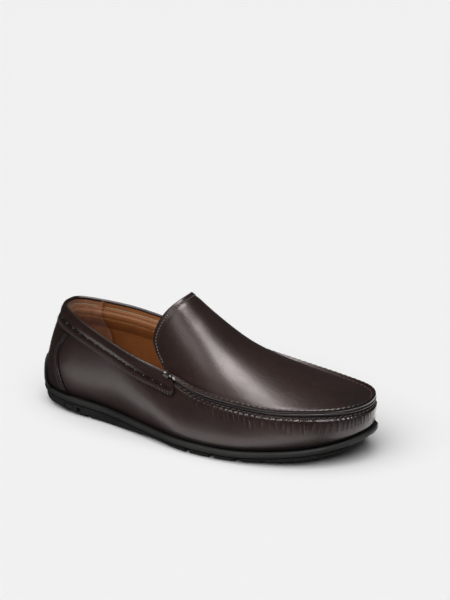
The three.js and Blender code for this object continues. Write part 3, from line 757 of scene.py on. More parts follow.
class MoccasinSizes(bpy.types.PropertyGroup):
    seam_pitch: length_setting(
        "Seam pitch", "Distance between the hand-sewn stitches", 0.0047, 0.003, 0.01)
    machine_pitch: length_setting(
        "Machine pitch", "Distance between the machine stitches", 0.0026, 0.0015, 0.006)
    punch_pitch: length_setting(
        "Punch pitch", "Distance between the large punched holes", 0.0087, 0.005, 0.02)
    punch: length_setting(
        "Large punch", "Diameter of the large punched holes", 0.0026, 0.001, 0.004)
    small_punch: length_setting(
        "Small punch", "Diameter of the small punched holes", 0.0013, 0.0005, 0.002)
    pleat: length_setting(
        "Pleats", "Depth of the deepest gather under the seam", 0.0007, 0, 0.002)
    polish: bpy.props.FloatProperty(
        name="Roughness", description="Roughness of the polished calf",
        default=0.35, min=0.1, max=0.8, subtype="FACTOR")


class MoccasinStage(bpy.types.PropertyGroup):
    azimuth: bpy.props.FloatProperty(
        name="Azimuth", description="Camera's turn round the shoe",
        default=math.radians(26.5), subtype="ANGLE")
    elevation: bpy.props.FloatProperty(
        name="Elevation", description="Camera's height angle",
        default=math.radians(24), subtype="ANGLE")
    distance: bpy.props.FloatProperty(
        name="Distance", description="Camera to shoe", default=2.0, min=0.5, unit="LENGTH")
    lens: bpy.props.FloatProperty(
        name="Lens", description="Focal length", default=145.2, min=20, unit="CAMERA")


def colours():
    return bpy.context.scene.moccasin_colours


def sizes():
    return bpy.context.scene.moccasin_sizes


def calf():
    c = colours()
    return once("burnished_calf", calf_material, c.calf, c.calf_dark, sizes().polish)


def lining_leather():
    return once("tan_lining_calf", lining_material, colours().lining, colours().lining_dark)


def thread():
    return once("waxed_thread", thread_material, colours().thread, linear("#5a4f4a"), 5)


# The upper.
def pleats(s, distance, depth):
    """Gathers under the seam, where the wall's leather is eased on to the shorter plug."""
    rng = np.random.default_rng(PLEAT_SEED)
    length = seam_length(s)
    start, end = seam_length(PLEAT_STRENGTH[0][0]), seam_length(PLEAT_STRENGTH[-1][0])
    at = start + np.cumsum(rng.uniform(*PLEAT_SPACING, 120))
    at = at[at < end]
    fine = np.linspace(CORNER_OUTER, CORNER_INNER, 800)
    station = np.interp(at, seam_length(fine), fine)
    height = along(PLEAT_STRENGTH, station) * rng.uniform(0.25, 1, len(at)) * depth
    reach = rng.uniform(*PLEAT_REACH, len(at))
    lean = rng.uniform(-0.2, 0.15, len(at)) - 0.45 * (1 - smoothstep(station, 8, 9))
    total = np.zeros(np.broadcast(s, distance).shape)
    for k in range(len(at)):
        off = length - at[k] - lean[k] * (distance - 6)
        fade = smoothstep(distance, 5.4, 7) * (1 - smoothstep(distance, 8, 8 + reach[k]))
        fold = ridge(off, 1.1, 0.7) - 0.7 * ridge(off, 0, 0.7)
        total = total + height[k] * fade * fold
    return total


def on_seam_share(s):
    """1 where the plug is sewn on, falling to 0 under the collar's tabs."""
    outer = smoothstep(s, CORNER_OUTER + 0.02, CORNER_OUTER + 0.35)
    inner = 1 - smoothstep(s, CORNER_INNER - 0.35, CORNER_INNER - 0.02)
    return outer * inner


def stitch_dents(s, distance, row, pitch):
    """Small pits where the hand stitches enter the leather."""
    wave = np.cos(2 * np.pi * seam_length(s) / pitch)
    return -0.35 * np.clip(wave, 0, 1) * ridge(distance, row, 0.8)


def wall_rows(s, length):
    """Rows of the wall, by their distance below its top edge, close together at the seam."""
    low = length - (length - TOP_ZONE) * np.linspace(0, 1, 20)[None, :-1] ** 0.85
    # Under the collar the wall stops short of the topline, so that the band rolls over thin.
    past = np.minimum(s - CORNER_OUTER, CORNER_INNER - s)
    end = 4 * (1 - smoothstep(past, 0, 0.1))
    high = lerp(TOP_ZONE, end, np.linspace(0, 1, 27)[None, :])
    return np.concatenate([low, high], 1)


def wall_lift(s, distance, length):
    """Lift off the plain wall: the seam's groove and ledge, gathers, dents and the turned foot."""
    share = on_seam_share(s)
    fade = np.clip(length / 34, 0.55, 1)
    lift = along(WALL_SECTION, distance / np.where(distance > 7, fade, 1)) * share
    lift = lift + pleats(s, distance, sizes().pleat * MM)
    lift = lift + stitch_dents(s, distance, SEAM_ROW, sizes().seam_pitch * MM) * share
    return lift - 1.1 * smoothstep(length - distance, 4, 0)


def wall_burnish_and_shade(s, distance, length):
    """Burnish with painted shade of the groove along the seam, painted shade at the foot by the
    sole and under the collar's punched holes, and darker round the toe.
    """
    share = on_seam_share(s)
    return (0.75 * ridge(distance, 0, 6) * share
            + 0.9 * smoothstep(distance, 15, 13) * (1 - share)
            + 0.8 * smoothstep(length - distance, 11, 0)
            + 0.35 * smoothstep(s, 7.4, 8.8) * (1 - smoothstep(s, 9.6, 11)))


def wall_points():
    seam = even_stations(CORNER_OUTER, CORNER_INNER, 0.75)
    outer = even_stations(0.02, CORNER_OUTER, 2.2)[:-1]
    inner = even_stations(CORNER_INNER, STATIONS - 0.02, 2.2)[1:]
    s = np.concatenate([outer, seam, inner])[:, None]
    length = wall_length(s)
    distance = wall_rows(s, length)
    s = np.broadcast_to(s, distance.shape)
    points = below_top(s, distance, wall_lift(s, distance, length))
    # The lasting margin, turned in flat under the insole.
    margins = []
    for inset in (LASTING_MARGIN, LASTING_MARGIN / 2, 1.5):
        p = wall_foot(s[:, 0], WELT + 1 + inset)
        p[:, 2] = points[:, 0, 2] + 0.2
        margins.append(p[:, None])
    burnish_and_shade = wall_burnish_and_shade(s, distance, length)
    burnish_and_shade = np.concatenate([burnish_and_shade[:, :1]] * len(margins) + [burnish_and_shade], 1)
    return np.concatenate([*margins, points], 1), burnish_and_shade


class MOCCASIN_OT_side_wall(bpy.types.Operator):
    """Makes the side wall's leather, gathered and grooved along the hand-sewn seam"""
    bl_idname = "moccasin.side_wall"
    bl_label = "Side wall leather"

    def execute(self, context):
        points, burnish_and_shade = wall_points()
        piece = laid_grid("side_wall_leather", points, burnish_and_shade)
        dress(piece, calf())
        # The back of the hide is dyed through to a matt brown suede.
        piece.data.materials.append(once("calf_flesh_side", lining_material, linear("#7a4a28"),
                                         linear("#4e2f1b")))
        thicken(piece, LEATHER - 0.2, 1)
        smooth(piece, SOFT_ANGLE)
        hand_over(piece, "upper_leather", "side_wall")
        return {"FINISHED"}


def spine_point(s):
    """Point of the plug's middle line that the seam at station s faces."""
    mirrored = np.where(s > TOE_STATION, 2 * TOE_STATION - s, s)
    middle = (around(TOP_EDGE, mirrored)[..., 0] + around(TOP_EDGE, 18 - mirrored)[..., 0]) / 2
    table = [[129.5, 129.5], [180, 171], [224, 206], [268, 240], [282, 252], [290, 258]]
    x = along(table, middle)
    return np.stack([x, along(PLUG_CENTRE, x)], -1)


def plug_plan(s, distance, share):
    """Plan point on the plug: distance in from the seam, then share of the way to the middle."""
    p = around(TOP_EDGE, s)
    side = flat_outward(TOP_EDGE, s)
    q = p - side
    slope = arch_height(q[..., 0], q[..., 1]) - arch_height(p[..., 0], p[..., 1])
    edge = p - side * (distance / np.hypot(1, slope))[..., None]
    spine = spine_point(s)
    point = lerp(edge, spine, share[..., None])
    width = np.linalg.norm(spine - p, axis=-1)
    across = np.clip(np.linalg.norm(point - spine, axis=-1) / width, 0, 1)
    first = np.array([PLUG_START])
    plain = lerp(spine_point(first)[0, 0], around(TOP_EDGE, first)[0, 0], across)
    q = (np.minimum(s, 2 * TOE_STATION - s) - PLUG_START) / 4
    near = np.clip(1 - q / 0.22, 0, 1) ** 2
    tongue = (along(TONGUE_EDGE, across) - plain) * near
    point[..., 0] += tongue * smoothstep(distance + 100 * share, -0.5, 4)
    return point


def plug_surface(s, rows, lift_of):
    distance, share, lift = rows
    s = np.broadcast_to(s[:, None], (len(s), len(distance)))
    plan = plug_plan(s, np.broadcast_to(distance, s.shape), np.broadcast_to(share, s.shape))
    return arch_point(plan[..., 0], plan[..., 1], lift_of(s, distance, share, lift))


def symmetric_stations(spacing):
    half = even_stations(PLUG_START, TOE_STATION, spacing)
    return np.concatenate([half, 2 * TOE_STATION - half[-2::-1]])


def fold_under(points, radius, flap):
    """Adds the folded edge of a sheet before its first column: a half turn and a flap below."""
    edge = points[0]
    away = unit(points[0] - points[1])
    run = unit(np.gradient(edge, axis=0))
    away = unit(away - run * (away * run).sum(-1, keepdims=True))
    out = unit(np.cross(-away, run))
    out = out * np.sign(out[:, 2:3] + 1e-9)
    turned = []
    for angle in np.linspace(0, math.pi, 8)[1:]:
        lift = -radius * (1 - math.cos(angle))
        turned.append(edge + away * radius * math.sin(angle) + out * lift)
    turned.append(turned[-1] - away * flap)
    return np.concatenate([np.array(turned[::-1]), points])


def plug_rows():
    bead = curve(BEAD_SECTION, 26)
    inner = np.linspace(0, 1, 22)[1:] ** 0.8
    distance = np.concatenate([bead[:, 0], np.full(len(inner), bead[-1, 0])])
    share = np.concatenate([np.zeros(len(bead)), inner])
    lift = np.concatenate([bead[:, 1], bead[-1, 1] * (1 - inner)])
    return distance, share, lift


def plug_lift(s, distance, share, lift):
    """Bead of the seam, pinched a little at each stitch and lower towards the plug's ends."""
    pitch = sizes().seam_pitch * MM
    pinch = 1 - 0.07 * np.cos(2 * np.pi * seam_length(s) / pitch)
    proud = np.where((distance < 3) & (lift > 0), pinch, 1)
    from_end = np.minimum(s, 2 * TOE_STATION - s) - PLUG_START
    ends = smoothstep(from_end, 0, 0.12)
    # The tongue's edge is stitched down in a shallow groove of its own.
    groove = 0.3 * ridge(from_end, 0.055, 0.017) * smoothstep(distance, 2, 4)
    return lift * proud * lerp(0.55, 1, ends) - groove


class MOCCASIN_OT_plug(bpy.types.Operator):
    """Makes the plug's leather with its seam bead and folded tongue edge, and its lining"""
    bl_idname = "moccasin.plug"
    bl_label = "Plug leather"

    def execute(self, context):
        self.leather()
        self.lining()
        return {"FINISHED"}

    def leather(self):
        s = symmetric_stations(0.85)
        rows = plug_rows()
        points = plug_surface(s, rows, plug_lift)
        main_columns = len(points)
        points = fold_under(points, 1.0, 5)
        points = fold_under(points[::-1], 1.0, 5)[::-1]
        extra = (len(points) - main_columns) // 2
        station = np.concatenate([[s[0]] * extra, s, [s[-1]] * extra])[:, None]
        # Painted shade on the outer face of the seam's bead, and darker round the toe.
        burnish_and_shade = 0.8 * ridge(rows[0], -0.9, 0.9)[None, :] * (rows[1][None, :] < 0.01)
        toe = smoothstep(station, 8, 8.8) * (1 - smoothstep(station, 9.2, 10.4))
        piece = laid_grid("plug_leather", points, burnish_and_shade + 0.35 * toe)
        weld(piece)
        thicken(piece, LEATHER - 0.4)
        complete(piece, SOFT_ANGLE, calf(), "upper_leather", "plug")

    def lining(self):
        share = np.linspace(0, 1, 14)
        rows = (np.full(14, 5.0), share, np.full(14, -LEATHER - GAP))
        under = plug_surface(symmetric_stations(3), rows,
                             lambda s, distance, share, lift: lift + 0 * s)
        lining = laid_grid("plug_lining_leather", under[:, ::-1])
        weld(lining)
        thicken(lining, -LINING)
        complete(lining, SOFT_ANGLE, lining_leather(), "tan_lining", "plug_lining")


def padding_share(s):
    """How full the collar is: round the heel and sides, flat at the tongue's corners."""
    inner = smoothstep(s, BAND_START, BAND_START + 0.8)
    return np.minimum(inner, 1 - smoothstep(s, CORNER_OUTER - 0.8, CORNER_OUTER))


def side_share(s):
    """Share of the way from the middle of the heel to the tongue's corner, on either side."""
    return np.where(s > 0, s / CORNER_OUTER, s / BAND_START)


def band_edge(s):
    """Lower edge of the band, in millimetres below the topline, curving up round its two tabs."""
    past = np.clip((side_share(s) - 1 + 0.005) / TAB_REACH, 0, 1)
    return 3 + (along(BAND_EDGE, side_share(s)) - 3) * (1 - past ** 2.4) ** 0.5


def collar_stations():
    body = even_stations(COLLAR_START, COLLAR_END, 0.85, COLLAR_WIDTH)
    angle = np.linspace(0, np.pi / 2, 22)[1:]
    tip = lerp(COLLAR_END, TAB_END * CORNER_OUTER, np.sin(angle))
    tail = lerp(COLLAR_START, TAB_END * BAND_START, np.sin(angle))
    return tail[::-1], body, tip


def collar_leg(s):
    """Points of the band's leg, from its toothed edge up to the roll, and its shade: darker
    along the toothed edge and painted shade round the punched row.
    """
    low = band_edge(s)
    share = np.linspace(0, 1, 26)[None, :]
    tooth = 0.6 * np.abs(np.mod(np.arange(len(s)), 4)[:, None] - 2) - 0.6
    distance = lerp(low, 3, share) + tooth * (1 - smoothstep(share, 0, 0.1))
    row = along(PUNCH_ROW, side_share(s))
    lift = -lerp(FLAT_BAND, along(COLLAR_LEG, distance * 9.7 / row), padding_share(s))
    points = below_top(np.broadcast_to(s, distance.shape), distance, lift)
    shade = 0.05 + 0.5 * ridge(distance, low, 1.6) + 0.7 * ridge(distance, row, 1.6)
    return points, shade


def collar_roll(s, first):
    """Points of the roll over the topline, from the leg's last row to the lining."""
    section = curve(COLLAR_ROLL, 20)
    pad = padding_share(s)
    start = -lerp(FLAT_BAND, section[0, 1], pad)
    lift = -section[None, :, 1] + 0 * s
    lift = np.where(lift > 0, lift * lerp(0.62, 1, pad), lift)
    lift = lerp(lift, start, smoothstep(np.arange(20), 5, 0)[None, :])
    points = below_top(np.broadcast_to(s, lift.shape), section[None, :, 0] + 0 * s, lift)
    points[:, 0] = first
    return points


def collar_leather():
    tail, body, tip = collar_stations()
    points, shade = collar_leg(np.concatenate([tail, body, tip])[:, None])
    leg = laid_grid("collar_leg", points, shade)
    first = points[len(tail):len(tail) + len(body), -1]
    roll = laid_grid("collar_roll", collar_roll(body[:, None], first), 0.3)
    band = join("collar_leather", [leg, roll])
    weld(band)
    thicken(band, BAND_LEATHER - 0.2)
    return band


def punch_places(rise, pitch, offset, start, end, lift=1.5):
    stations = even_stations(start, end, pitch, 10)
    between = np.arange(len(stations) - 1) + 0.5 + offset
    stations = np.interp(between, np.arange(len(stations)), stations)
    row = along(PUNCH_ROW, side_share(stations)) + rise
    t = 1 - row / wall_length(stations)
    forward, _, out = wall_frame(stations, t)
    at = below_top(stations, row, lift)
    return placings(at, forward, out)


class MOCCASIN_OT_collar(bpy.types.Operator):
    """Makes the padded collar band with its punched row, gimped edge and rounded tabs"""
    bl_idname = "moccasin.collar"
    bl_label = "Collar band"

    def execute(self, context):
        band = collar_leather()
        pitch = sizes().punch_pitch * MM
        span = (BAND_START, CORNER_OUTER)
        large = copies("punches", hole_source(sizes().punch * MM, 4, 10),
                       punch_places(0, pitch, 0, *span))
        small = [copies("punches", hole_source(sizes().small_punch * MM, 4, 8),
                        punch_places(rise, pitch, 0.5, *span)) for rise in SMALL_PUNCH_RISE]
        cut(band, join("punches", [large, *small]))
        complete(band, EDGE_ANGLE, calf(), "upper_leather", "collar_band")
        # Pale discs of leather sit in the large punched holes: a painted highlight for the glint in
        # each.
        source = stitch_source(1.1, 0.9)
        dress(source, once("pale_underlay_leather", lining_material, linear("#9b9184"),
                           linear("#6d655b")))
        glint_discs = copies("punch_glint_discs", source, punch_places(0, pitch, 0, *span, lift=0.75))
        hand_over(glint_discs, "upper_leather")
        self.padding()
        return {"FINISHED"}

    def padding(self):
        """The foam ring under the band, in the room that the lining leaves it."""
        s = even_stations(BAND_START + 0.3, CORNER_OUTER - 0.3, 2.5)
        distance = np.array([23, 20, 17, 14, 11, 8, 5.5, 4.5])
        swell = foam_swell(s[:, None], distance[None, :])
        front = below_top(s[:, None], distance[None, :], -1.9)
        back = below_top(s[:, None], distance[None, :], -(LINING_DEPTH - GAP + swell))
        loop = np.concatenate([front, back[:, ::-1], front[:, :1]], 1)
        foam = laid_grid("collar_foam", loop)
        weld(foam)
        close_ends(foam)
        sheet = once("collar_foam_sheet", foam_material, linear("#d9cfae"), linear("#a89c78"))
        complete(foam, EDGE_ANGLE, sheet, "foam", "collar_padding")


def close_ends(piece):
    """Fills the open ends of a tube and turns all faces out."""
    select_only(piece)
    bpy.ops.object.mode_set(mode="EDIT")
    bpy.ops.mesh.select_all(action="DESELECT")
    bpy.ops.mesh.select_non_manifold(extend=False)
    bpy.ops.mesh.fill()
    bpy.ops.mesh.select_all(action="SELECT")
    bpy.ops.mesh.normals_make_consistent(inside=False)
    bpy.ops.mesh.select_all(action="DESELECT")
    bpy.ops.object.mode_set(mode="OBJECT")


def foam_swell(s, distance):
    top, bottom = 5, COLLAR_WIDTH + 2
    inside = (distance > top) & (distance < bottom)
    arch = np.sin(np.pi * (distance - top) / (bottom - top))
    return np.where(inside, padding_share(s) * COLLAR_FOAM * arch, 0)


class MOCCASIN_OT_backstay(bpy.types.Operator):
    """Makes the strip over the back seam, with its hollow-curved edges"""
    bl_idname = "moccasin.backstay"
    bl_label = "Heel backstay"

    def execute(self, context):
        k = np.linspace(-1, 1, 61)[:, None]
        t = np.linspace(0, 1, 48)[None, :]
        top = 1 - (BAND_EDGE[0][1] - 1.4) / BACK_LENGTH
        height = lerp(0.004, top, t)
        width = np.where(k < 0, along(BACKSTAY_INNER, height), along(BACKSTAY_OUTER, height))
        s = k * width
        edge = np.abs(k) ** 14
        lift = BAND_LEATHER + 0.15 - 0.35 * edge - 0.9 * smoothstep(height, 0.06, 0)
        # Stitching pulls the strip down in a shallow channel a little way in from each edge.
        lift = lift - 0.18 * ridge(np.abs(k), 0.9, 0.025)
        height = height + 0 * s
        points = wall_surface(s, height) + wall_frame(s, height)[2] * lift[..., None]
        # Darker all over and at the strip's edges, with painted shade at its foot by the sole.
        burnish_and_shade = 0.25 + 0.6 * np.abs(k) ** 8 + 0.6 * smoothstep(height, 0.12, 0)
        strip = laid_grid("backstay_leather", points, burnish_and_shade)
        thicken(strip, BAND_LEATHER)
        complete(strip, EDGE_ANGLE, calf(), "upper_leather", "heel_backstay")
        return {"FINISHED"}


# The lining.
def lining_end(end, distance):
    """Station of a lining's end: the seam with the heel grip is cut to a slow curve."""
    if abs(end) > 2:
        return end + 0 * distance
    return math.copysign(1, end) * along(GRIP_EDGE, distance)


def lining_points(start, end, channel_rows):
    s = even_stations(start, end, 1.6, 8)[:, None]
    length = wall_length(s)
    low = np.linspace(0, 1, 16)[None, :-1]
    distance = np.concatenate([
        lerp(length * 0.93, 26, low), lerp(26, 0.4, np.linspace(0, 1, 56)[None, :]) + 0 * s], 1)
    first, last = lining_end(start, distance), lining_end(end, distance)
    s = lerp(first, last, (s - start) / (end - start))
    depth = along(LINING_TOP, distance) + foam_swell(s, distance)
    for row in channel_rows:
        depth = depth - 0.55 * padding_share(s) * ridge(distance, row, 0.7)
    edge = ridge(s, first, 0.045) + ridge(s, last, 0.045)
    depth = depth + 0.4 * edge
    # Painted shade in the stitched channels and deeper down in the shoe; darker along the ends at
    # the seam with the grip.
    burnish_and_shade = sum(0.3 * ridge(distance, row, 0.8) for row in channel_rows)
    burnish_and_shade = burnish_and_shade + edge + 0.25 * smoothstep(distance, 20, 60)
    points = below_top(s, distance, -depth)
    return points[:, ::-1], burnish_and_shade[:, ::-1]


class MOCCASIN_OT_linings(bpy.types.Operator):
    """Makes the quarter linings, the suede heel grip, the sock and the footbed foam"""
    bl_idname = "moccasin.linings"
    bl_label = "Linings and sock"

    def execute(self, context):
        grip = once("suede_heel_grip", suede_material, colours().grip, linear("#8a5433"))
        runs = [
            ("quarter_lining_leather_outer", 1.5, CORNER_OUTER - 0.02,
             lining_leather(), "tan_lining", "quarter_lining_outer"),
            ("quarter_lining_leather_inner", BAND_START + 0.02, -1.5,
             lining_leather(), "tan_lining", "quarter_lining_inner"),
            ("heel_grip_suede", -1.5, 1.5, grip, "heel_grip", "heel_grip_lining"),
        ]
        for name, start, end, material, slot, node in runs:
            points, burnish_and_shade = lining_points(start, end, CHANNELS)
            piece = laid_grid(name, points, burnish_and_shade)
            thicken(piece, LINING)
            complete(piece, EDGE_ANGLE, material, slot, node)
        self.underfoot()
        return {"FINISHED"}

    def underfoot(self):
        bottom = FOOTBED_BOTTOM
        foam = underfoot_plate("footbed_foam", bottom, bottom + FOOTBED, 7.8, 1)
        sheet = once("footbed_foam_sheet", foam_material, linear("#cfc6a6"), linear("#9c916f"))
        complete(foam, EDGE_ANGLE, sheet, "foam", "footbed")
        bottom = bottom + FOOTBED + GAP
        sock = underfoot_plate("sock_leather", bottom, bottom + SOCK, 8, 0.4)
        complete(sock, EDGE_ANGLE, lining_leather(), "tan_lining", "sock_lining")


def fan_rows(s, inset, height, count, x_range):
    """Rows that run from an edge ring in to the middle line, at one height rule. A point and its
    opposite one meet at the same place on that line."""
    edge = sole_edge(s, inset)
    share = smooth_share(edge[..., 0], x_range)
    middle_x = lerp(x_range[0], x_range[1], (share + share[::-1]) / 2)
    middle = np.stack([middle_x, 0.03 * middle_x], -1)
    rows = []
    for share in np.linspace(0, 1, count):
        p = lerp(edge, middle, share)
        rows.append(np.concatenate([p, height(p[..., :1])], -1))
    return rows


def smooth_share(x, x_range):
    low, high = x_range
    return np.clip((x - low + 18) / (high - low + 36), 0, 1)


def lining_lean(s, height):
    """How far in from the sole's edge the lining's face is at a height over the seat."""
    edge = sole_edge(s, 0 * s)
    top = top_edge(s)
    share = height / (top[..., 2] - seat_height(edge[..., 0]))
    out3 = wall_frame(s, share)[2]
    face = wall_surface(s, share) - out3 * (LINING_DEPTH + LINING)
    lean = ((edge - face[..., :2]) * flat_outward(SOLE_EDGE, s)).sum(-1)
    return np.maximum(WELT + LINING_DEPTH + LINING, lean)


def even_round(spacing):
    """Stations all round the sole's edge, evenly spaced, the first repeated at the end."""
    fine = np.linspace(0, STATIONS, 6000)
    return spaced(fine, around(SOLE_EDGE, fine), spacing)


def underfoot_plate(name, bottom, top, inset, round_edge):
    """A plate of even thickness that fills the shoe from side to side, over the seat."""
    s = even_round(2.4)
    inset = lining_lean(s, top) + inset - WELT - LINING_DEPTH - LINING - 0.5
    x_range = (45, 250)
    over = fan_rows(s, inset + round_edge, lambda x: seat_height(x) + top, 12, x_range)
    under = fan_rows(s, inset + round_edge * 0.3, lambda x: seat_height(x) + bottom, 6, x_range)
    side = [np.concatenate([sole_edge(s, inset + round_edge * (1 - math.sin(a))),
                            seat_height(sole_edge(s, inset)[:, :1]) + top
                            - round_edge * (1 - math.cos(a))], -1)
            for a in (math.pi / 6, math.pi / 3, math.pi / 2)]
    rows = [*under[::-1], *side[::-1], *over]
    plate = laid_grid(name, np.stack(rows, 1))
    weld(plate)
    return plate


# The sole. Its side, row by row: inset from the edge, whether the height is measured from the
# seat or from the tread, and the height.
SOLE_SIDE = [[2.9, 0, 0], [2.2, 0, 0.5], [1.8, 0, 1.5], [1.5, 1, -6.0], [1.3, 1, -5.3],
             [2.2, 1, -5.1], [2.2, 1, -4.5], [0.9, 1, -4.3], [0.25, 1, -3.9], [0, 1, -3.1],
             [0, 1, -1.7], [0.2, 1, -0.7], [0.7, 1, 0], [1.3, 1, 0.25], [1.9, 1, 0.15],
             [2.3, 1, -0.4], [2.6, 1, -0.9], [3.4, 1, -0.9], [4.2, 1, -0.1]]

# How far the tread's edge is turned up, in millimetres, by station.
EDGE_RISE = [[0, 4], [1.6, 3.2], [2.3, 1.2], [3, 0.4], [4.5, 0.2], [5.3, 0.4], [6, 1.6], [6.5, 3.2],
             [7.1, 4.4], [7.6, 5.6], [8.2, 4.8], [9, 4.6], [10, 4], [11, 3], [12, 1.5], [13, 0.5],
             [15, 0.5], [16, 2.5], [17, 4]]

# The rubber that rises up the heel, in millimetres, its half width in stations, and the wall's
# length behind it.
LIP_HEIGHT = 21
LIP_END = 1.3
LIP_WALL = 72

SOLE_MIDDLE = (45, 245)  # the middle line that the tread and the seat meet on

# Cuts in the heel's outer side, an outlined panel and a square notch: station, height over the
# ground, width, height and depth.
PANEL_CUTS = [[2.085, 8.4, 8.6, 0.9, 0.9], [2.085, 3.5, 8.6, 0.9, 0.9],
              [1.965, 5.95, 0.9, 3.96, 0.9], [2.205, 5.95, 0.9, 3.96, 0.9],
              [2.35, 5.2, 3.8, 3.8, 3]]


def sole_points():
    """Rows from the middle of the tread, out and up round the side, to the middle of the seat."""
    s = even_round(1.1)
    rise = along(EDGE_RISE, s)[:, None]
    tread = fan_rows(s, 0 * s + 13, tread_height, 9, SOLE_MIDDLE)
    seat = fan_rows(s, 0 * s + SOLE_SIDE[-1][0], lambda x: seat_height(x) - 0.1, 8, SOLE_MIDDLE)
    rows = tread[::-1]
    for inset, share in ((11, 0.08), (8.5, 0.28), (6.5, 0.52), (4.6, 0.78), (2.9, 1)):
        p = sole_edge(s, 0 * s + inset)
        rows.append(np.concatenate([p, tread_height(p[:, :1]) + rise * share], -1))
    # The toe's bumper stands a little proud of the rest of the rim.
    bumper = 0.7 * smoothstep(s, 8.15, 8.21) * (1 - smoothstep(s, 9.8, 9.86))
    for inset, from_seat, height in SOLE_SIDE[1:-1]:
        p = sole_edge(s, inset - bumper * (inset < 2.5))
        low = tread_height(p[:, :1]) + rise
        z = low + height
        if from_seat:
            z = np.maximum(seat_height(p[:, :1]) + height, low + 2 + 0.1 * height)
        rows.append(np.concatenate([p, z], -1))
    return np.stack([*rows, *seat], 1)


def heel_lip():
    """Tongue of rubber that rises from the rim up the back of the heel."""
    s = np.linspace(-LIP_END, LIP_END, 81)[:, None]
    top = LIP_HEIGHT * (1 - smoothstep(np.abs(s), 0.35, LIP_END))
    share = np.linspace(0, 1, 18)[None, :]
    t = (0.01 + top / LIP_WALL * share) + 0 * s
    s = np.broadcast_to(s, t.shape)
    lift = 2.7 + 0.6 * smoothstep(share, 0, 0.2) - 0.5 * smoothstep(share, 0.85, 1)
    points = wall_surface(s, t) + wall_frame(s, t)[2] * (lift + 0 * s)[..., None]
    foot = points[:, :1] - np.array([0, 0, 2.5])
    lip = laid_grid("heel_lip", np.concatenate([foot, points], 1))
    thicken(lip, 1.5)
    return lip


def box_tool(centre, size, turn=0.0):
    """A box cutter in pattern millimetres, turned about the vertical."""
    tool = added(bpy.ops.mesh.primitive_cube_add, size=1)
    stretch = Matrix.Diagonal(Vector((*[side / MM for side in size], 1)))
    place = Matrix.Translation(Vector(to_frame(centre))) @ Matrix.Rotation(turn, 4, "Z")
    tool.data.transform(place @ stretch)
    return tool


def sole_cutters():
    """Tread grooves across the sole, and the moulded recesses in the heel's outer side."""
    drop = 10
    tools = []
    for x in TREAD_GROOVES:
        depth = TREAD_GROOVE_DEPTH + (2 if x > 150 else 0.5)
        z = float(tread_height(np.array(float(x)))) + (depth - drop) / 2
        tools.append(box_tool((x, 0, z), (TREAD_GROOVE_WIDTH, 240, depth + drop)))
    for station, z, width, height, depth in PANEL_CUTS:
        at = sole_edge(np.array(station), np.array(1.5))
        out = flat_outward(SOLE_EDGE, np.array(station))
        turn = math.atan2(out[1], out[0]) + math.pi / 2
        tools.append(box_tool((*at, z), (width, 2 * depth, height), turn))
    return join("sole_cutters", tools)


class MOCCASIN_OT_sole(bpy.types.Operator):
    """Makes the rubber unit sole with its rolled rim, groove and cut tread"""
    bl_idname = "moccasin.sole"
    bl_label = "Rubber sole"

    def execute(self, context):
        sole = laid_grid("rubber_sole", sole_points())
        weld(sole)
        cut(sole, sole_cutters())
        sole = join("rubber_sole", [sole, heel_lip()])
        rubber = once("moulded_rubber", rubber_material, colours().rubber, linear("#2b2a29"))
        complete(sole, MOULD_ANGLE, rubber, "sole_rubber", "outsole")
        return {"FINISHED"}


# Stitching.
def wall_stitches(name, stations, distance, lift, length, thickness, slant=0.0):
    """A row of stitches along the wall, evenly spaced on the given stations."""
    source = stitch_source(length, thickness)
    dress(source, thread())
    distance = np.broadcast_to(distance, stations.shape)
    t = np.minimum(1 - distance / wall_length(stations), 1)
    forward, up, out = wall_frame(stations, t)
    at = below_top(stations, distance, lift)
    forward = unit(forward + up * slant)
    return copies(name, source, placings(at, forward, out))


class MOCCASIN_OT_seam_stitches(bpy.types.Operator):
    """Sews the plug to the side wall by hand, and ties the two corners of the tongue"""
    bl_idname = "moccasin.seam_stitches"
    bl_label = "Hand-sewn seam"

    def execute(self, context):
        pitch = sizes().seam_pitch * MM
        fine = np.linspace(CORNER_OUTER + 0.3, CORNER_INNER - 0.3, 3000)
        length = seam_length(fine)
        steps = np.arange(math.ceil(length[0] / pitch), math.floor(length[-1] / pitch))
        stations = np.interp((steps + 0.5) * pitch, length, fine)
        ledge = wall_stitches("ledge_stitches", stations, SEAM_ROW, -0.4, pitch * 0.86, 1.3,
                              0.25)
        seam = join("seam_stitches", [ledge, self.plug_row(stations, pitch)])
        hand_over(seam, "thread", "seam_thread")
        for side, station in (("outer", CORNER_OUTER), ("inner", CORNER_INNER)):
            self.tie(side, station)
        return {"FINISHED"}

    def plug_row(self, stations, pitch):
        """The same thread where it shows in the groove on the plug's side of the bead."""
        source = stitch_source(pitch * 0.55, 1.0)
        dress(source, thread())
        inset = np.full(stations.shape, 2.5)
        plan = plug_plan(stations, inset, 0 * stations)
        ahead = plug_plan(stations + 0.01, inset, 0 * stations)
        at = arch_point(plan[:, 0], plan[:, 1], 0.1)
        forward = unit(arch_point(ahead[:, 0], ahead[:, 1], 0.1) - at)
        out = arch_normal(plan[:, 0], plan[:, 1])
        forward = unit(forward + 0.35 * unit(np.cross(out, forward)))
        return copies("plug_row", source, placings(at, forward, out))

    def tie(self, side, station):
        """Three turns of doubled thread that lock the seam at the corner of the tongue."""
        sign = 1 if side == "outer" else -1
        stations = station + sign * np.array([0.1, 0.19, 0.28])
        source = stitch_source(3.8, 1.7)
        light = once("waxed_tie_thread", thread_material, linear("#8f8781"), linear("#cfc9c2"), 5)
        dress(source, light)
        t = 1 - 0.5 / wall_length(stations)
        forward, up, out = wall_frame(stations, t)
        at = below_top(stations, 0.2, 2.4)
        forward = unit(forward * sign - up * 0.5)
        tie = copies("corner_ties_" + side, source, placings(at, forward, out))
        hand_over(tie, "thread", "corner_tie_" + side)


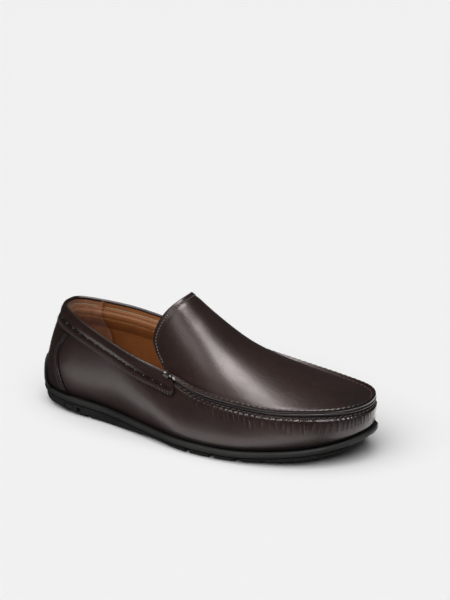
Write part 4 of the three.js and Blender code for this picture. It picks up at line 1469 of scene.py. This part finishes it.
def line_places(points, out, pitch):
    """Places at an even pitch along a run of points, with the surface's way out at each."""
    length = run_length(points)
    count = int(length[-1] / pitch)
    at = (np.arange(count) + 0.5) * length[-1] / count
    here, there, normal = (
        np.stack([np.interp(where, length, table[:, k]) for k in range(3)], -1)
        for where, table in ((at, points), (at + 0.2, points), (at, out)))
    return placings(here, unit(there - here + 1e-9), unit(normal))


class MOCCASIN_OT_machine_stitches(bpy.types.Operator):
    """Runs the machine stitching of the collar, backstay, tongue and lining"""
    bl_idname = "moccasin.machine_stitches"
    bl_label = "Machine stitching"

    def run(self, name, lines, node=None, material=None):
        pitch = sizes().machine_pitch * MM
        source = stitch_source(pitch * 0.78, 0.85, 6, 5)
        dress(source, material or thread())
        places = [place for points, out in lines for place in line_places(points, out, pitch)]
        row = copies(name, source, places)
        hand_over(row, "thread", *([node] if node else []))

    def wall_line(self, stations, distance, lift):
        t = 1 - distance / wall_length(stations)
        return below_top(stations, distance, lift), wall_frame(stations, t)[2]

    def collar(self):
        span = np.linspace(1.035 * BAND_START, 1.035 * CORNER_OUTER, 900)
        return [self.wall_line(span, band_edge(span) - row, 1.6) for row in BAND_ROWS]

    def backstay(self, sign):
        table = BACKSTAY_OUTER if sign > 0 else BACKSTAY_INNER
        t = np.linspace(0.05, 1 - (BAND_EDGE[0][1] + 1) / BACK_LENGTH, 200)
        lines = []
        for inset in (0.09, 0.17):
            s = sign * (along(table, t) - inset)
            out = wall_frame(s, t)[2]
            lines.append((wall_surface(s, t) + out * 1.45, out))
        return lines

    def tongue(self):
        share = np.linspace(0.02, 1, 120)
        lines = []
        for mirrored in (False, True):
            s = np.full(share.shape, PLUG_START + 1e-4)
            s = 2 * TOE_STATION - s if mirrored else s
            plan = plug_plan(s, np.full(share.shape, 6.5), share)
            ahead = plug_plan(s + (-0.03 if mirrored else 0.03), np.full(share.shape, 6.5), share)
            plan = plan + unit(ahead - plan) * 2.3
            points = arch_point(plan[:, 0], plan[:, 1], 0.1)
            lines.append((points, arch_normal(plan[:, 0], plan[:, 1])))
        return lines

    def lining(self):
        lines = []
        s = np.linspace(BAND_START + 0.3, CORNER_OUTER - 0.3, 900)
        for row in CHANNELS:
            depth = along(LINING_TOP, row) + foam_swell(s, row) - 0.45 * padding_share(s)
            points, out = self.wall_line(s, row, -depth)
            lines.append((points, -out))
        return lines

    def execute(self, context):
        # The tongue's stitches get a paler grey thread than the other rows.
        paler = once("worn_thread", thread_material, linear("#4c423d"), linear("#958a83"), 4)
        tan = once("tan_thread", thread_material, linear("#8a5a2c"), linear("#c08a52"), 4)
        self.run("collar_stitches", self.collar(), "collar_thread")
        self.run("backstay_stitches_outer", self.backstay(1), "backstay_thread_outer")
        self.run("backstay_stitches_inner", self.backstay(-1), "backstay_thread_inner")
        self.run("tongue_stitches", self.tongue(), "tongue_thread", paler)
        self.run("lining_stitches", self.lining(), None, tan)
        return {"FINISHED"}


class MOCCASIN_OT_inner_pieces(bpy.types.Operator):
    """Gives the hidden stiffeners, boards and shank their materials"""
    bl_idname = "moccasin.inner_pieces"
    bl_label = "Inner pieces"

    def execute(self, context):
        stiff = once("stiffener_board", board_material, linear("#c9b79a"), linear("#a08c6c"), 1.2)
        fibre = once("insole_fibreboard", board_material, linear("#b08d5e"), linear("#8a6a40"), 1.0)
        cork = once("cork_sheet", board_material, linear("#a97f50"), linear("#6f4c2a"), 2.2)
        steel = once("spring_steel", steel_material)
        dressed = {
            "insole_board": fibre, "forepart_filler": cork, "shank": steel,
            "heel_counter": stiff, "toe_puff": stiff, "side_stiffener_outer": stiff,
            "side_stiffener_inner": stiff, "vamp_lining": lining_leather(),
        }
        for name, material in dressed.items():
            dress(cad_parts[name], material)
        return {"FINISHED"}


# The stage, in metres and watts.
GLOWS = [("outer", (-0.03, -0.105), (0.44, 0.06)), ("inner", (0, 0.115), (0.5, 0.08)),
         ("toe", (0.2, 0), (0.07, 0.14))]
GLOW_POWER = 7.5  # for a square metre
CAMERA_TARGET = (150, 0, 40)  # pattern millimetres
AIM_RIGHT = 0.0151
AIM_UP = 0.0661


def face(thing, way):
    """Turns a light or a camera to look a given way."""
    thing.rotation_euler = Vector(way).to_track_quat("-Z", "Y").to_euler()


def soft_light(name, place, target, size, power):
    bpy.ops.object.light_add(type="AREA", location=place)
    light = bpy.context.object
    light.name = name
    light.data.shape = "RECTANGLE"
    light.data.size, light.data.size_y = size
    light.data.energy = power
    face(light, Vector(target) - Vector(place))
    return light


class MOCCASIN_OT_stage(bpy.types.Operator):
    """Lays the pale floor, hangs the soft lights and sets the camera"""
    bl_idname = "moccasin.stage"
    bl_label = "Stage"

    def floor(self):
        floor = added(bpy.ops.mesh.primitive_plane_add, size=12, location=(0, 0, -0.0003))
        floor.name = "floor"
        bpy.ops.object.transform_apply(location=True, rotation=False, scale=False)
        made, tree, shader = new_material("pale_floor")
        set_sockets(shader, tree, Base_Color=rgba(colours().floor), Roughness=0.9,
                    Specular_IOR_Level=0.1)
        dress(floor, made)
        floor.visible_glossy = False

    def lights(self):
        overhead = soft_light("overhead", (0.4, 0.05, 2), (0, 0, 0), (1.1, 1.1), 50)
        overhead.visible_diffuse = False
        front = soft_light("front", (0.2, -1.4, 1.5), (0, 0, 0.05), (0.8, 0.8), 7)
        front.visible_diffuse = False
        # The tent lights everything evenly. Polished leather doesn't mirror it.
        bpy.ops.object.light_add(type="SUN", location=(-0.6, 0.5, 2))
        tent = bpy.context.object
        tent.data.energy = 3.22
        tent.data.angle = math.radians(90)
        face(tent, (0.1, 0.35, -1))
        tent.visible_glossy = False
        # Only the lit floor close to the shoe shows in its polish.
        for name, (x, y), size in GLOWS:
            power = GLOW_POWER * size[0] * size[1]
            glow = soft_light("floor_glow_" + name, (x, y, 0.0005), (x, y, 1), size, power)
            glow.visible_diffuse = False
            glow.visible_camera = False
        world = bpy.data.worlds.new("studio")
        bpy.context.scene.world = world
        world.use_nodes = True
        background = world.node_tree.nodes["Background"]
        background.inputs["Color"].default_value = (1, 1, 1, 1)
        background.inputs["Strength"].default_value = 0.05

    def camera(self):
        settings = bpy.context.scene.moccasin_stage
        a, e = settings.azimuth, settings.elevation
        back = Vector((math.sin(a) * math.cos(e), -math.cos(a) * math.cos(e), math.sin(e)))
        right = Vector((math.cos(a), math.sin(a), 0))
        up = back.cross(right)
        target = Vector(to_frame(CAMERA_TARGET))
        place = target + back * settings.distance
        aim = target + right * AIM_RIGHT + up * AIM_UP
        bpy.ops.object.camera_add(location=place)
        camera = bpy.context.object
        camera.name = "camera"
        face(camera, aim - place)
        camera.data.lens = settings.lens
        camera.data.sensor_width = 36
        bpy.context.scene.camera = camera

    def execute(self, context):
        context.scene.view_settings.view_transform = "Standard"
        self.floor()
        self.lights()
        self.camera()
        return {"FINISHED"}


STEPS = ["stage", "sole", "side_wall", "plug", "collar", "backstay", "linings", "seam_stitches",
         "machine_stitches", "inner_pieces"]


class MOCCASIN_PT_panel(bpy.types.Panel):
    """The shoe's settings, and a button for each step"""
    bl_idname = "MOCCASIN_PT_panel"
    bl_label = "Moccasin"
    bl_space_type = "VIEW_3D"
    bl_region_type = "UI"
    bl_category = "Moccasin"

    def draw(self, context):
        for group in ("moccasin_colours", "moccasin_sizes", "moccasin_stage"):
            settings = getattr(context.scene, group)
            for name in settings.__annotations__:
                self.layout.prop(settings, name)
        for step in STEPS:
            self.layout.operator("moccasin." + step)


CLASSES = [
    MoccasinColours, MoccasinSizes, MoccasinStage, MOCCASIN_OT_stage, MOCCASIN_OT_sole,
    MOCCASIN_OT_side_wall, MOCCASIN_OT_plug, MOCCASIN_OT_collar, MOCCASIN_OT_backstay,
    MOCCASIN_OT_linings, MOCCASIN_OT_seam_stitches, MOCCASIN_OT_machine_stitches,
    MOCCASIN_OT_inner_pieces, MOCCASIN_PT_panel,
]


def register():
    for cls in CLASSES:
        bpy.utils.register_class(cls)
    scene = bpy.types.Scene
    scene.moccasin_colours = bpy.props.PointerProperty(type=MoccasinColours)
    scene.moccasin_sizes = bpy.props.PointerProperty(type=MoccasinSizes)
    scene.moccasin_stage = bpy.props.PointerProperty(type=MoccasinStage)


def unregister():
    del bpy.types.Scene.moccasin_stage
    del bpy.types.Scene.moccasin_sizes
    del bpy.types.Scene.moccasin_colours
    for cls in reversed(CLASSES):
        bpy.utils.unregister_class(cls)


def main():
    register()
    for step in STEPS:
        getattr(bpy.ops.moccasin, step)()


if __name__ == "__main__":
    main()
